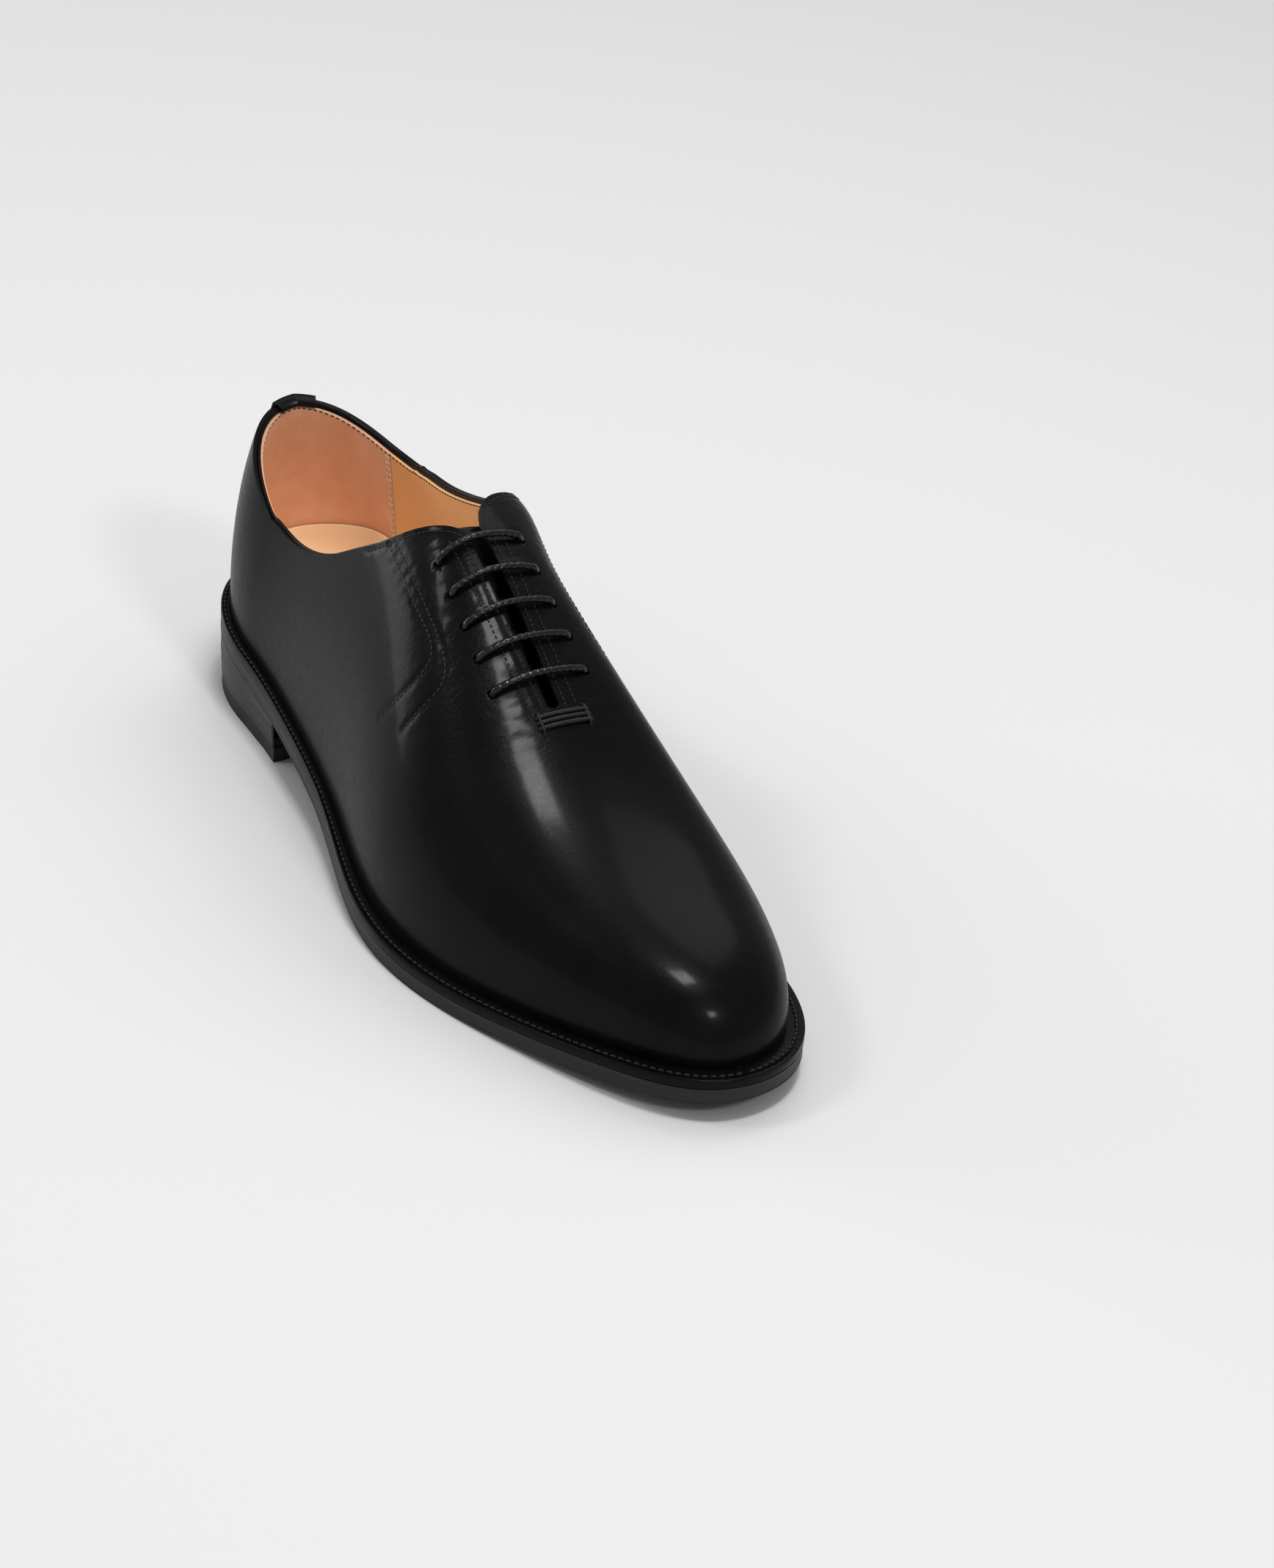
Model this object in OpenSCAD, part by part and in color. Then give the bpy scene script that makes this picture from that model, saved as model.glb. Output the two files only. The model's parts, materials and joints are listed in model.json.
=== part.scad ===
// Plain wholecut oxford shoe for the right foot: closed lacing with five pairs of punched eyelets,
// full linings and stiffeners, a stitched welt all round, a leather sole and a low stacked heel.
// Millimetres. X is lateral, Y runs to the toe, Z is up, and the heel and the tread stand on Z = 0.
// Every leather piece is a thin shell on one fitted surface, the outside of the upper. A place on it
// is a station angle (-90 at the back seam, 0 at the heel breast side, 90 at the toe tip) and a
// side number (1 at the lateral feather edge, 0 on the instep ridge, -1 at the medial feather edge).

/* [Upper] */
// Thickness of the calf upper leather
upper_t = 1.4; // [1.2:0.1:1.4]
// Thickness of the linings
lining_t = 1.0; // [0.8:0.1:1.0]
// Thickness of the stiffeners between upper and lining
stiffener_t = 1.0; // [0.7:0.1:1.0]
// Width of the lasting margin turned in under the insole
margin_w = 9.0; // [7:0.5:10]

/* [Sole] */
// Thickness of the leather outsole
outsole_t = 5.0; // [4:0.5:5]
// How far the welt stands out beside the forefoot
welt_out = 5.0; // [4:0.5:6]
// How far the welt stands out round the heel
welt_back = 3.0; // [2.5:0.5:3.5]
// Thickness of the insole
insole_t = 3.0; // [2.5:0.5:3.5]
// Thickness of the sock liner
sock_t = 1.2; // [0.8:0.1:1.6]

/* [Heel] */
// Distance from the back of the sole to the heel breast
heel_len = 76.0; // [70:1:80]
// Thickness of the rubber top piece
top_piece_t = 5.0; // [4:0.5:6]
// Thickness of each leather lift
lift_t = 3.6; // [3:0.1:3.7]
// Depth of the hollow curve of the heel breast
breast_hollow = 4.0; // [2:0.5:6]

/* [Lacing] */
// Diameter of the round waxed lace
lace_d = 2.4; // [2.0:0.1:2.4]
// Thickness of the tongue leather
tongue_t = 1.2; // [1.0:0.1:1.4]

/* [Hidden] */
gap = 0.1;                  // air left between neighbouring layers
centre_x = 4;               // sideways middle of the sole
centre_y = 152;             // lengthways middle of the sole
heel_axis = 50;             // from the back of the sole to the centre of the heel seat
fore_len = 248;             // from there to the toe tip
heel_back = 47;             // from there to the back seam at the feather edge
heel_power = 2.2;           // squareness of the heel seat
welt_t = 3;                 // thickness of the welt strip
feather = outsole_t + welt_t;
back_flare = 3;             // how far the back of the heel bulges
back_lean = 0.14;           // how far the back of the heel leans in

// Control values every 10 degrees of station angle, 0 to 90
mid_x = [-0.6, 2.9, 7.6, 10.4, 4.6, -2.4, -5.6, -6.9, -6.7, -5.5];
half_w = [30, 31.5, 34.2, 46.3, 57, 62, 64.2, 67.5, 73.8, 79];
ridge_x = [0.7, 1.5, 2.2, 2, 0.5, -1.9, -4, -5, -5.6, -5.7];
ridge_h = [88, 97, 105, 91, 71.5, 61.5, 61, 67.5, 78, 86.5];
side_flare = [0.5, 1, 2, 2.8, 3.5, 3.7, 3.5, 3.7, 4.3, 4.7];
side_rise = [0.45, 0.47, 0.52, 0.6, 0.66, 0.68, 0.68, 0.66, 0.62, 0.58];
full_lat = [0.5, 0.5, 0.5, 0.46, 0.38, 0.32, 0.28, 0.27, 0.31, 0.35];
full_med = [0, -0.2, -0.34, -0.32, -0.12, 0.07, 0.2, 0.25, 0.3, 0.33];
// Height of the underside of the sole, every 20 mm from the back
tread_z = [23.4, 21, 18.4, 15.8, 13.4, 11.2, 8.5, 5.3, 2.5, 0.75, -0.03, -0.03, 0.95, 2.7, 4.6, 6, 7.2];
// Topline and lobes: station angle and share of the way up, from the back seam to the facing
rim_lat = [[-90, 0.527], [-72, 0.508], [-54, 0.462], [-36, 0.42], [-20, 0.39], [-7, 0.368], [3, 0.37], [9, 0.44],
    [13, 0.545], [15.6, 0.62], [17, 0.69], [18.6, 0.79], [20, 0.895], [20.9, 0.95], [21.2, 0.957]];
rim_med = [[-90, 0.527], [-72, 0.502], [-54, 0.468], [-36, 0.443], [-20, 0.446], [-7, 0.456], [3, 0.489], [8, 0.545],
    [12, 0.6], [14.4, 0.66], [15.8, 0.73], [16.8, 0.82], [18, 0.91], [19.6, 0.96], [21.2, 0.973]];
lobe_out = 5;                                 // how far the medial lobe is pushed out by the instep
// How far the sock liner turns up at its edge, every 20 degrees of station angle from -90 to 90
cup_lat = [8.5, 8.5, 8, 7, 6, 3, 0, 0, 0, 0];
cup_med = [8.5, 10.5, 15, 18, 15, 8, 1, 0, 0, 0];
facing_rise = [0.021, 0.01];                  // how far the facing edges close towards the throat
throat_a = 35.2;                              // bottom of the throat
eyelet_a = [22, 24.7, 27.3, 29.9, 32.6];      // stations of the eyelets
eyelet_half = 0.37;                           // half the length of an eyelet, as a station angle
eyelet_v = [0.822, 0.877];                    // how far up the lateral and medial facings they sit
facing_a = [for (k = [0:4]) each [eyelet_a[k] - eyelet_half, eyelet_a[k] + eyelet_half,
    k < 4 ? (eyelet_a[k] + eyelet_a[k + 1]) / 2 : 34.2], throat_a];
toe_a = [37.5, 41, 45, 49, 53, 57, 61, 65, 69, 73, 77, 81, 85, 88];
rows_lat = [0.06, 0.15, 0.26, 0.38, 0.5, 0.62, 0.72, 0.8, 0.844, 0.92, 1];
rows_med = [0.06, 0.15, 0.26, 0.38, 0.5, 0.62, 0.75, 0.855, 0.899, 0.95, 1];
// Steps along the rim, and the numbers of the last one at the topline, of the first one in front of
// the heel grip and of the first one at the facing stay
rim_u = [for (u = [0:0.5:5]) u, 6, 7, 8, 9, 9.6, 10.2, 10.8, 11.4, 12, 12.6, 13.3, 14];
topline_i = 15;
grip_i = 8;
stay_i = 17;
stiff_d = upper_t + gap;                      // depth of the stiffeners
lining_d = stiff_d + stiffener_t + gap;       // depth of the linings
inside_d = lining_d + lining_t;               // depth of the inside of the shoe
tongue_d = inside_d + lace_d + 0.6;           // depth of the tongue, with room for the lace over it

// Even cubic spline through control values, mirrored at both ends
function wrap(n, k) = k < 0 ? -k : k > n - 1 ? 2 * (n - 1) - k : k;
function blend4(a, b, c, d, f) = (a * pow(1 - f, 3) + b * (3 * pow(f, 3) - 6 * f * f + 4)
    + c * (-3 * pow(f, 3) + 3 * f * f + 3 * f + 1) + d * pow(f, 3)) / 6;
function even(v, x) = let (n = len(v), i = floor(x), f = x - i)
    blend4(v[wrap(n, i - 1)], v[wrap(n, i)], v[wrap(n, i + 1)], v[wrap(n, i + 2)], f);
// The same, running straight out of both ends
function outer(v, k) = let (n = len(v)) k < 0 ? 2 * v[0] - v[1] : k > n - 1 ? 2 * v[n - 1] - v[n - 2] : v[k];
function ended(v, x) = let (n = len(v), q = max(0, min(n - 1, x)), i = min(floor(q), n - 2), f = q - i)
    blend4(outer(v, i - 1), outer(v, i), outer(v, i + 1), outer(v, i + 2), f);
function at(v, a) = even(v, max(0, min(90, a)) / 10);
function tread(s) = ended(tread_z, s / 20);
function unit(v) = v / norm(v);

// Feather edge: [x, y from the heel back, inward x, inward y, width to the ridge]
function foot(a, side) = a < 0
    ? let (w0 = at(half_w, 0) + side * (at(mid_x, 0) - at(ridge_x, 0)), r = pow(pow(cos(a) / w0, heel_power)
        + pow(-sin(a) / heel_back, heel_power), -1 / heel_power))
        [at(ridge_x, 0) + side * r * cos(a), heel_axis + r * sin(a), -side * cos(a), -sin(a), r]
    : let (w = at(half_w, a) * cos(a))
        [at(mid_x, a) + side * w, heel_axis + fore_len * sin(a), -side, 0, side * (at(mid_x, a) - at(ridge_x, a)) + w];
// Outside of the upper at station angle a and side number w
function skin(a, w) = a < -90 ? skin(-180 - a, -w) : a > 90 ? skin(180 - a, -w)
    : let (side = w < 0 ? -1 : 1, t = 1 - abs(w), p = foot(a, side), af = max(0, a),
        back = pow(sin(max(0, -a)), 2), h = at(ridge_h, a) * cos(af),
        flare = at(side_flare, a) * sqrt(cos(af)) + (back_flare - side_flare[0]) * back,
        full = at(side > 0 ? full_lat : full_med, a), lean = full + (back_lean - full) * back,
        b1 = 3 * t * pow(1 - t, 2), b2 = 3 * t * t * (1 - t), b3 = pow(t, 3),
        d = -flare * b1 + lean * p[4] * b2 + p[4] * b3, z = at(side_rise, a) * h * b1 + h * (b2 + b3),
        lobe = side > 0 ? 0 : lobe_out * exp(-pow((a - 16.5) / 4.5, 2) - pow((t - 0.71) / 0.15, 2)))
        [p[0] + p[2] * d - centre_x - lobe, p[1] + p[3] * d - centre_y, z + tread(p[1]) + feather];
function facing_normal(a, w) = unit(cross(skin(a, w + 0.01) - skin(a, w - 0.01), skin(a + 0.5, w) - skin(a - 0.5, w)));
// A point at depth d below the outside of the upper. Past the feather edge, at side numbers beyond
// 1 or -1, it is on the lasting margin, 100 mm in for each 1 of side number.
function under(a, w, d) = abs(w) < 0.9999 ? skin(a, w) - d * facing_normal(a, w)
    : let (side = w < 0 ? -1 : 1, in = (abs(w) - 1) * 100, p = edge_point(a, side) - edge_normal(a, side) * max(in, d))
        [p[0], p[1], tread(p[1] + centre_y) + feather + gap / 2 + d];
// How far up the side a point has to be to stand clear of the lasting margin
function clear_t(a, up) = up / (3 * at(side_rise, a) * at(ridge_h, a) * cos(max(0, a)));
// Place on the rim, from -14 at the medial facing over 0 at the back seam to 14 at the lateral facing.
// The medial side comes out as stations below -90, so that one grid can run round the heel.
function rim(u) = let (p = ended(u < 0 ? rim_med : rim_lat, abs(u))) [u < 0 ? -180 - p[0] : p[0], 1 - p[1]];
function facing_t(a, side) = let (k = side > 0 ? 0 : 1, v = (side > 0 ? rim_lat : rim_med)[14][1])
    v + facing_rise[k] * (a - 21.2) / 13;
// One column up a side of the upper: [station angle, share of the way up] of its top end
function side_top(i, side) = i < len(rim_u) ? ended(side > 0 ? rim_lat : rim_med, rim_u[i])
    : let (a = concat(facing_a, toe_a)[i - len(rim_u)]) [a, a < throat_a - 0.01 ? facing_t(a, side) : 1];

// Plan outline of the feather edge pushed out by a distance that may change along the shoe
function edge_point(a, side) = let (p = foot(a, side)) [p[0] - centre_x, p[1] - centre_y];
function edge_normal(a, side) = let (d = edge_point(min(a + 0.5, 90), side) - edge_point(max(a - 0.5, -90), side),
    u = abs(a) > 89.6 ? [0, a > 0 ? 1 : -1] : unit([side * d[1], -side * d[0]])) u;
function welt_grow(y) = let (s = y + centre_y) welt_back + (welt_out - welt_back) * max(0, min(1, (s - 120) / 70))
    + max(0, min(1, (s - 250) / 50));
plan_a = [for (a = [-90:6:0]) a, for (a = [4:4:84]) a, 87, 90];
function plan(out, grow = 0) = [for (side = [1, -1]) for (k = [0:len(plan_a) - 1])
    let (a = side > 0 ? plan_a[k] : plan_a[len(plan_a) - 1 - k], p = edge_point(a, side))
    if (side > 0 || (k > 0 && k < len(plan_a) - 1)) p + edge_normal(a, side) * (out + grow * welt_grow(p[1]))];
profile_s = [-8, for (s = [0:10:300]) s, 312];

// A block between two heights above the tread curve, as wide as the shoe
module layer(low, high) {
    rotate([90, 0, 90])
        translate([0, 0, -80])
            linear_extrude(160)
                polygon(concat([for (s = profile_s) [s - centre_y, tread(s) + low]],
                    [for (k = [len(profile_s) - 1:-1:0]) [profile_s[k] - centre_y, tread(profile_s[k]) + high]]));
}
// The part of a layer inside a plan outline
module sole_layer(low, high, out, grow = 0) {
    intersection() {
        layer(low, high);
        translate([0, 0, -5])
            linear_extrude(80)
                polygon(plan(out, grow));
    }
}

// Two triangles for one cell of a grid of points
function quad(a, b, c, d) = [[a, b, c], [a, c, d]];

// Numbers of the grid cells with an eyelet in them, counted from the column cut first
function eyelet_cols(first) = [for (k = [0:4]) len(rim_u) + 3 * k - first];
function is_eyelet(i, j, cols, row) = j == row && len(search(i, cols)) > 0;

// Closed shell from a grid of places [station angle, side number] between two depths, with the
// cells of one row in some columns left open. With a nose it is closed over at the toe tip.
module shell(grid, out, in, cols = [], row = -1, nose = false) {
    n = len(grid);
    m = len(grid[0]);
    k = n * m;
    e = (n - 1) * m;
    points = [for (d = [out, in]) for (col = grid) for (p = col) under(p[0], p[1], d)];
    faces = [for (i = [0:n - 2]) for (j = [0:m - 2])
        let (a = i * m + j, b = a + m, c = b + 1, d = a + 1)
        each is_eyelet(i, j, cols, row)
            ? concat(quad(a, b, b + k, a + k), quad(b, c, c + k, b + k), quad(c, d, d + k, c + k), quad(d, a, a + k, d + k))
            : concat(quad(a, b, c, d), quad(a + k, d + k, c + k, b + k))];
    start = [for (j = [0:m - 2]) each quad(j, j + 1, j + 1 + k, j + k)];
    finish = nose
        ? concat(quad(e + m - 1, e, e + k, e + m - 1 + k),
            [for (j = [1:m - 2]) each [[e, e + j + 1, e + j], [e + k, e + j + k, e + j + 1 + k]]])
        : [for (j = [0:m - 2]) each quad(e + j + 1, e + j, e + j + k, e + j + 1 + k)];
    sides = [for (i = [0:n - 2]) each concat(quad((i + 1) * m, i * m, i * m + k, (i + 1) * m + k),
        quad(i * m + m - 1, (i + 1) * m + m - 1, (i + 1) * m + m - 1 + k, i * m + m - 1 + k))];
    polyhedron(points, concat(faces, start, finish, sides), convexity = 6);
}

// Round cord swept along points, its ring of corners carried along without twist
module cord(path, d, sides = 8) {
    n = len(path);
    dirs = [for (i = [0:n - 1]) unit(path[min(i + 1, n - 1)] - path[max(i - 1, 0)])];
    first = unit(cross(dirs[0], abs(dirs[0][2]) < 0.9 ? [0, 0, 1] : [1, 0, 0]));
    ups = [for (i = 0, u = first; i < n; i = i + 1, u = i < n ? unit(u - (u * dirs[i]) * dirs[i]) : u) u];
    points = [for (i = [0:n - 1]) for (k = [0:sides - 1])
        path[i] + (ups[i] * cos(k * 360 / sides) + cross(dirs[i], ups[i]) * sin(k * 360 / sides)) * d / 2];
    walls = [for (i = [0:n - 2]) for (k = [0:sides - 1])
        let (a = i * sides + k, b = i * sides + (k + 1) % sides)
        each quad(a, a + sides, b + sides, b)];
    ends = [[for (k = [0:sides - 1]) k], [for (k = [sides - 1:-1:0]) (n - 1) * sides + k]];
    polyhedron(points, concat(walls, ends), convexity = 8);
}
// Places given as [station angle, side number, depth], as points
function placed(route) = [for (p = route) under(p[0], p[1], p[2])];

// Upper: full arches from feather edge to feather edge, open along the topline and the throat
module wholecut_upper() {
    n = len(rim_u) + len(facing_a) + len(toe_a);
    front = len(rim_u) + len(facing_a) - 1;
    h = len(rows_lat) + 2;
    m = 2 * h;
    k = n * m;
    edge = 1 + margin_w / 100;
    medial = [for (i = [0:n - 1]) let (c = side_top(i, -1))
        [[c[0], -edge], [c[0], -1], for (v = rows_med) [c[0], v * c[1] - 1]]];
    lateral = [for (i = [0:n - 1]) let (c = side_top(i, 1))
        [for (j = [len(rows_lat) - 1:-1:0]) [c[0], 1 - rows_lat[j] * c[1]], [c[0], 1], [c[0], edge]]];
    grid = [for (i = [0:n - 1]) concat(medial[i], lateral[i])];
    points = [for (d = [0, upper_t]) for (col = grid) for (p = col) under(p[0], p[1], d)];
    // the two sides share their points up the back seam and along the closed front
    function id(i, j) = i == 0 && j >= h ? m - 1 - j : i * m + (i >= front && j == h ? h - 1 : j);
    cells = [for (i = [0:n - 2]) for (j = [0:m - 2]) if (j != h - 1)
        let (a = id(i, j), b = id(i + 1, j), c = id(i + 1, j + 1), d = id(i, j + 1), first = eyelet_cols(0),
            hole = is_eyelet(i, j, first, 9) || is_eyelet(i, j, first, h + 2))
        each hole
            ? concat(quad(a, b, b + k, a + k), quad(b, c, c + k, b + k), quad(c, d, d + k, c + k), quad(d, a, a + k, d + k))
            : concat(quad(a, b, c, d), quad(a + k, d + k, c + k, b + k))];
    edges = [for (i = [0:n - 2]) let (a = id(i, 0), b = id(i + 1, 0), c = id(i + 1, m - 1), d = id(i, m - 1))
        each concat(quad(b, a, a + k, b + k), quad(d, c, c + k, d + k))];
    rims = [for (i = [0:front - 1])
        let (a = id(i, h - 1), b = id(i + 1, h - 1), c = id(i + 1, h), d = id(i, h))
        each concat(quad(a, b, b + k, a + k), quad(c, d, d + k, c + k))];
    e = (n - 1) * m;
    arch = [for (j = [1:m - 2]) if (j != h) e + j];
    nose = [for (j = [1:len(arch) - 2]) each [[arch[0], arch[j + 1], arch[j]],
        [arch[0] + k, arch[j] + k, arch[j + 1] + k]]];
    toe = concat(quad(e + m - 1, e + m - 2, e + 1, e), quad(e + m - 1 + k, e + k, e + 1 + k, e + m - 2 + k),
        quad(e + m - 1, e, e + k, e + m - 1 + k));
    color([0.035, 0.035, 0.038])
        polyhedron(points, concat(cells, edges, rims, nose, toe), convexity = 10);
}
// Strip that closes the topline between upper and lining, from lobe to lobe round the heel
module topline_binding() {
    steps = [for (k = [-topline_i:topline_i]) sign(k) * rim_u[abs(k)]];
    color([0.05, 0.05, 0.052])
        shell([for (u = steps) let (r = rim(u)) [for (w = [-0.004, 0.03, 0.06]) [r[0], r[1] + w]]],
            stiff_d, stiff_d + stiffener_t);
}
// Small tab folded over the topline at the back seam
module heel_tab() {
    fold = [[0.045, -1.1], [-0.02, -1.1], [-0.02, inside_d + 1], [0.03, inside_d + 1], [0.03, inside_d + 2 * gap],
        [-0.008, inside_d + 2 * gap], [-0.008, -gap], [0.045, -gap]];
    steps = [-0.75, -0.5, -0.25, 0, 0.25, 0.5, 0.75];
    n = len(steps);
    m = len(fold);
    points = [for (u = steps) let (r = rim(u)) for (f = fold) under(r[0], r[1] + f[0], f[1])];
    walls = [for (i = [0:n - 2]) for (j = [0:m - 1]) let (a = i * m + j, b = i * m + (j + 1) % m)
        each quad(a, b, b + m, a + m)];
    ends = [for (q = [[0, 7, 6, 1], [1, 6, 5, 2], [2, 5, 4, 3]]) each concat(quad(q[0], q[1], q[2], q[3]),
        quad(q[3] + (n - 1) * m, q[2] + (n - 1) * m, q[1] + (n - 1) * m, q[0] + (n - 1) * m))];
    color([0.04, 0.04, 0.042])
        polyhedron(points, concat(walls, ends), convexity = 6);
}
// Two heavy rows of thread across the bottom of the throat
module throat_bar_tack() {
    color([0.06, 0.06, 0.062])
        for (a = [35.6, 36.5])
            cord(placed([for (w = [-0.08:0.04:0.08]) [a, w, -0.7]]), 1.1);
}
module toe_puff() {
    steps = [60, 64, 68, 72, 76, 80, 83, 86];
    color([0.8, 0.74, 0.62])
        shell([for (a = steps) let (t0 = clear_t(a, 1.8))
            [for (k = [-9:9]) let (t = 1 - (1 - t0) * abs(k) / 9) [a, sign(k) * (1 - t)]]],
            stiff_d + gap, stiff_d + stiffener_t, nose = true);
}
module heel_counter() {
    steps = [for (u = [-5:0.5:5]) u];
    color([0.72, 0.55, 0.38])
        shell([for (u = steps) let (r = rim(u), top = r[1] + 0.09, low = 1 - clear_t(0, 2))
            [for (k = [0:5]) [r[0], top + (low - top) * k / 5]]], stiff_d, stiff_d + stiffener_t - gap);
}
// Grid of one side from the lobe corner to the throat, between two heights, its eyelet row kept in line
function facing_grid(side, first, v_low, v_top) = let (rows = side > 0 ? rows_lat : rows_med, top = len(rows) - 1,
        ups = [for (v = rows) if (v > v_low) min(v, v_top)])
    [for (i = [first:len(rim_u) + len(facing_a) - 2]) let (c = side_top(i, side))
        side > 0 ? [for (j = [len(ups) - 1:-1:0]) [c[0], 1 - ups[j] * c[1]]] : [for (v = ups) [c[0], v * c[1] - 1]]];
module facing_stay(side) {
    color([0.12, 0.1, 0.09])
        shell(facing_grid(side, stay_i, 0.65, 0.985), stiff_d, stiff_d + stiffener_t - 2 * gap,
            cols = eyelet_cols(stay_i), row = side > 0 ? 2 : 1);
}
module facing_stay_lateral() {
    facing_stay(1);
}
module facing_stay_medial() {
    facing_stay(-1);
}
// How far the grip seam runs forward below the topline, as a share of its angle from the back
function seam_lean(v) = 0.35 * pow(1 - v, 2);
seam_u = 3.4;
module quarter_lining(side) {
    rows = side > 0 ? rows_lat : rows_med;
    last = len(rim_u) + len(facing_a) - 2;
    tops = concat([ended(side > 0 ? rim_lat : rim_med, seam_u)], [for (i = [grip_i:last]) side_top(i, side)]);
    grid = [for (i = [0:len(tops) - 1])
        let (c = tops[i], slide = max(0, 1 - (c[0] - tops[0][0]) / 60) * (tops[0][0] + 90),
            col = [for (v = concat([0], rows)) let (t = max(clear_t(c[0], 2), min(v, 0.985) * c[1]),
                a = c[0] + slide * seam_lean(v) + (i == 0 ? 0.4 : 0)) [a, side * (1 - t)]])
        side > 0 ? [for (j = [len(col) - 1:-1:0]) col[j]] : col];
    color([0.84, 0.55, 0.3])
        shell(grid, lining_d, inside_d, cols = eyelet_cols(grip_i - 1), row = side > 0 ? 2 : 8);
}
module quarter_lining_lateral() {
    quarter_lining(1);
}
module quarter_lining_medial() {
    quarter_lining(-1);
}
// Suede grip round the inside of the heel, sewn to the quarter linings
module heel_grip_lining() {
    color([0.83, 0.55, 0.42])
        shell([for (i = [-8:8]) let (r = rim(i * seam_u / 8))
            [for (v = [0.985, 0.85, 0.7, 0.5, 0.3, 0.12, 0]) let (t = max(clear_t(0, 2), v * (1 - r[1])))
                [-90 + (r[0] + 90) * (1 + seam_lean(v)), 1 - t]]], lining_d, inside_d);
}
module vamp_lining() {
    steps = [35.6, 38, 42, 47, 52, 57, 62, 67, 72, 77, 81, 84.5];
    color([0.84, 0.57, 0.33])
        shell([for (a = steps) let (t0 = clear_t(a, 2))
            [for (k = [-7:7]) let (t = 1 - (1 - t0) * abs(k) / 7) [a, sign(k) * (1 - t)]]],
            lining_d, inside_d, nose = true);
}
// Tongue: lies clear of the lace under the facings and rises to the vamp lining at its seam
function tongue_drop(a) = (tongue_d - inside_d - 0.6) * min(1, max(0, (39 - a) / 6));
tongue_a = [19.4, 19.9, 20.6, 22, 23.5, 25, 28, 31, 33, 35, 37, 39];
function tongue_w(a) = a < 19.6 ? 0.2 : a < 20 ? 0.245 : 0.265 - max(0, a - 31) * 0.008;
module tongue_sheet(depth, thick, trim) {
    n = len(tongue_a);
    grid = [for (a = tongue_a) [for (k = [-4:4]) [a + (a < 20 ? trim * 0.3 : 0), k / 4 * (tongue_w(a) - trim * 0.015)]]];
    m = len(grid[0]);
    k = n * m;
    points = [for (d = [0, thick]) for (col = grid) for (p = col)
        under(p[0], p[1], inside_d + 0.6 + tongue_drop(p[0]) + depth + d)];
    cells = [for (i = [0:n - 2]) for (j = [0:m - 2]) let (a = i * m + j, b = a + m, c = b + 1, d = a + 1)
        each concat(quad(a, b, c, d), quad(a + k, d + k, c + k, b + k))];
    sides = [for (i = [0:n - 2]) let (a = i * m, b = a + m, c = b + m - 1, d = a + m - 1)
        each concat(quad(b, a, a + k, b + k), quad(d, c, c + k, d + k))];
    ends = [for (j = [0:m - 2]) let (e = (n - 1) * m + j)
        each concat(quad(j, j + 1, j + 1 + k, j + k), quad(e + 1, e, e + k, e + 1 + k))];
    polyhedron(points, concat(cells, sides, ends), convexity = 6);
}
module tongue_leather() {
    color([0.045, 0.045, 0.048])
        tongue_sheet(0, tongue_t, 0);
}
module tongue_lining() {
    color([0.83, 0.56, 0.33])
        tongue_sheet(tongue_t + gap, 0.8, 1);
}

// Lace: straight bars on top, joined by runs inside the facings
function eyelet(k, side) = let (a = eyelet_a[k], v = eyelet_v[side > 0 ? 0 : 1])
    [a, side * (1 - v * facing_t(a, side))];
run_d = inside_d + 0.2 + lace_d / 2;
// One bar from its eyelet on the first side to the other, as [station angle, side number, depth]
function bar(k, side) = let (p = eyelet(k, side), q = eyelet(k, -side), over = -lace_d / 2 - 0.5)
    [[p[0], p[1], run_d], [p[0], p[1], 2.6], [p[0], p[1], 0.2], [p[0], p[1] - side * 0.022, over],
    [p[0], (p[1] + q[1]) / 2, over - 0.8], [q[0], q[1] + side * 0.022, over], [q[0], q[1], 0.2],
    [q[0], q[1], 2.6], [q[0], q[1], run_d]];
lace_route = concat([[30.3, 0.26, 5.2], [30, 0.222, 4.7], [29.9, 0.207, 3.8]],
    [for (p = bar(3, 1)) if (p[2] < 4 || p[1] < 0) p], [[27.3, -0.19, run_d]], bar(1, -1), bar(0, 1),
    [[24.7, -0.11, run_d]], bar(2, -1), [[29.9, 0.16, run_d]], [for (p = bar(4, 1)) if (p[2] < 4 || p[1] > 0) p],
    [[32.6, -0.14, 3.8], [32.65, -0.157, 4.7], [32.8, -0.19, 5.2]]);
// The ends hang down inside the quarters and lie along the sock liner: [x, y, z]
tail_lat = [[14.7, 21, 76.4], [19.6, 23.9, 71.3], [25, 28, 63.5], [29.5, 31.5, 55], [32.5, 35, 46], [34.5, 38.5, 37],
    [36, 42.5, 28], [37, 48, 20.5], [37, 54, 16.4], [36.5, 61, 15.2], [35, 69, 15.4], [32.5, 77, 15.7],
    [29.5, 84.5, 16.1], [26, 91.5, 16.7]];
tail_med = [[-20.7, 29.9, 73.1], [-24.4, 31.2, 71], [-27.8, 33.2, 66.6], [-31, 36, 58], [-32.8, 39, 49],
    [-33.8, 42.5, 40], [-34.5, 46.5, 31], [-34.8, 51.5, 23], [-35.2, 57.5, 17.5], [-35.5, 64.5, 16.1],
    [-36, 72.5, 16.1], [-36.5, 80.5, 16.4], [-36.5, 88.5, 16.7], [-36, 95.5, 17.4]];
module lace() {
    color([0.05, 0.05, 0.055])
        cord(placed(lace_route), lace_d);
}
module lace_tail_lateral() {
    color([0.05, 0.05, 0.055])
        cord(tail_lat, lace_d);
}
module lace_tail_medial() {
    color([0.05, 0.05, 0.055])
        cord(tail_med, lace_d);
}
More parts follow.
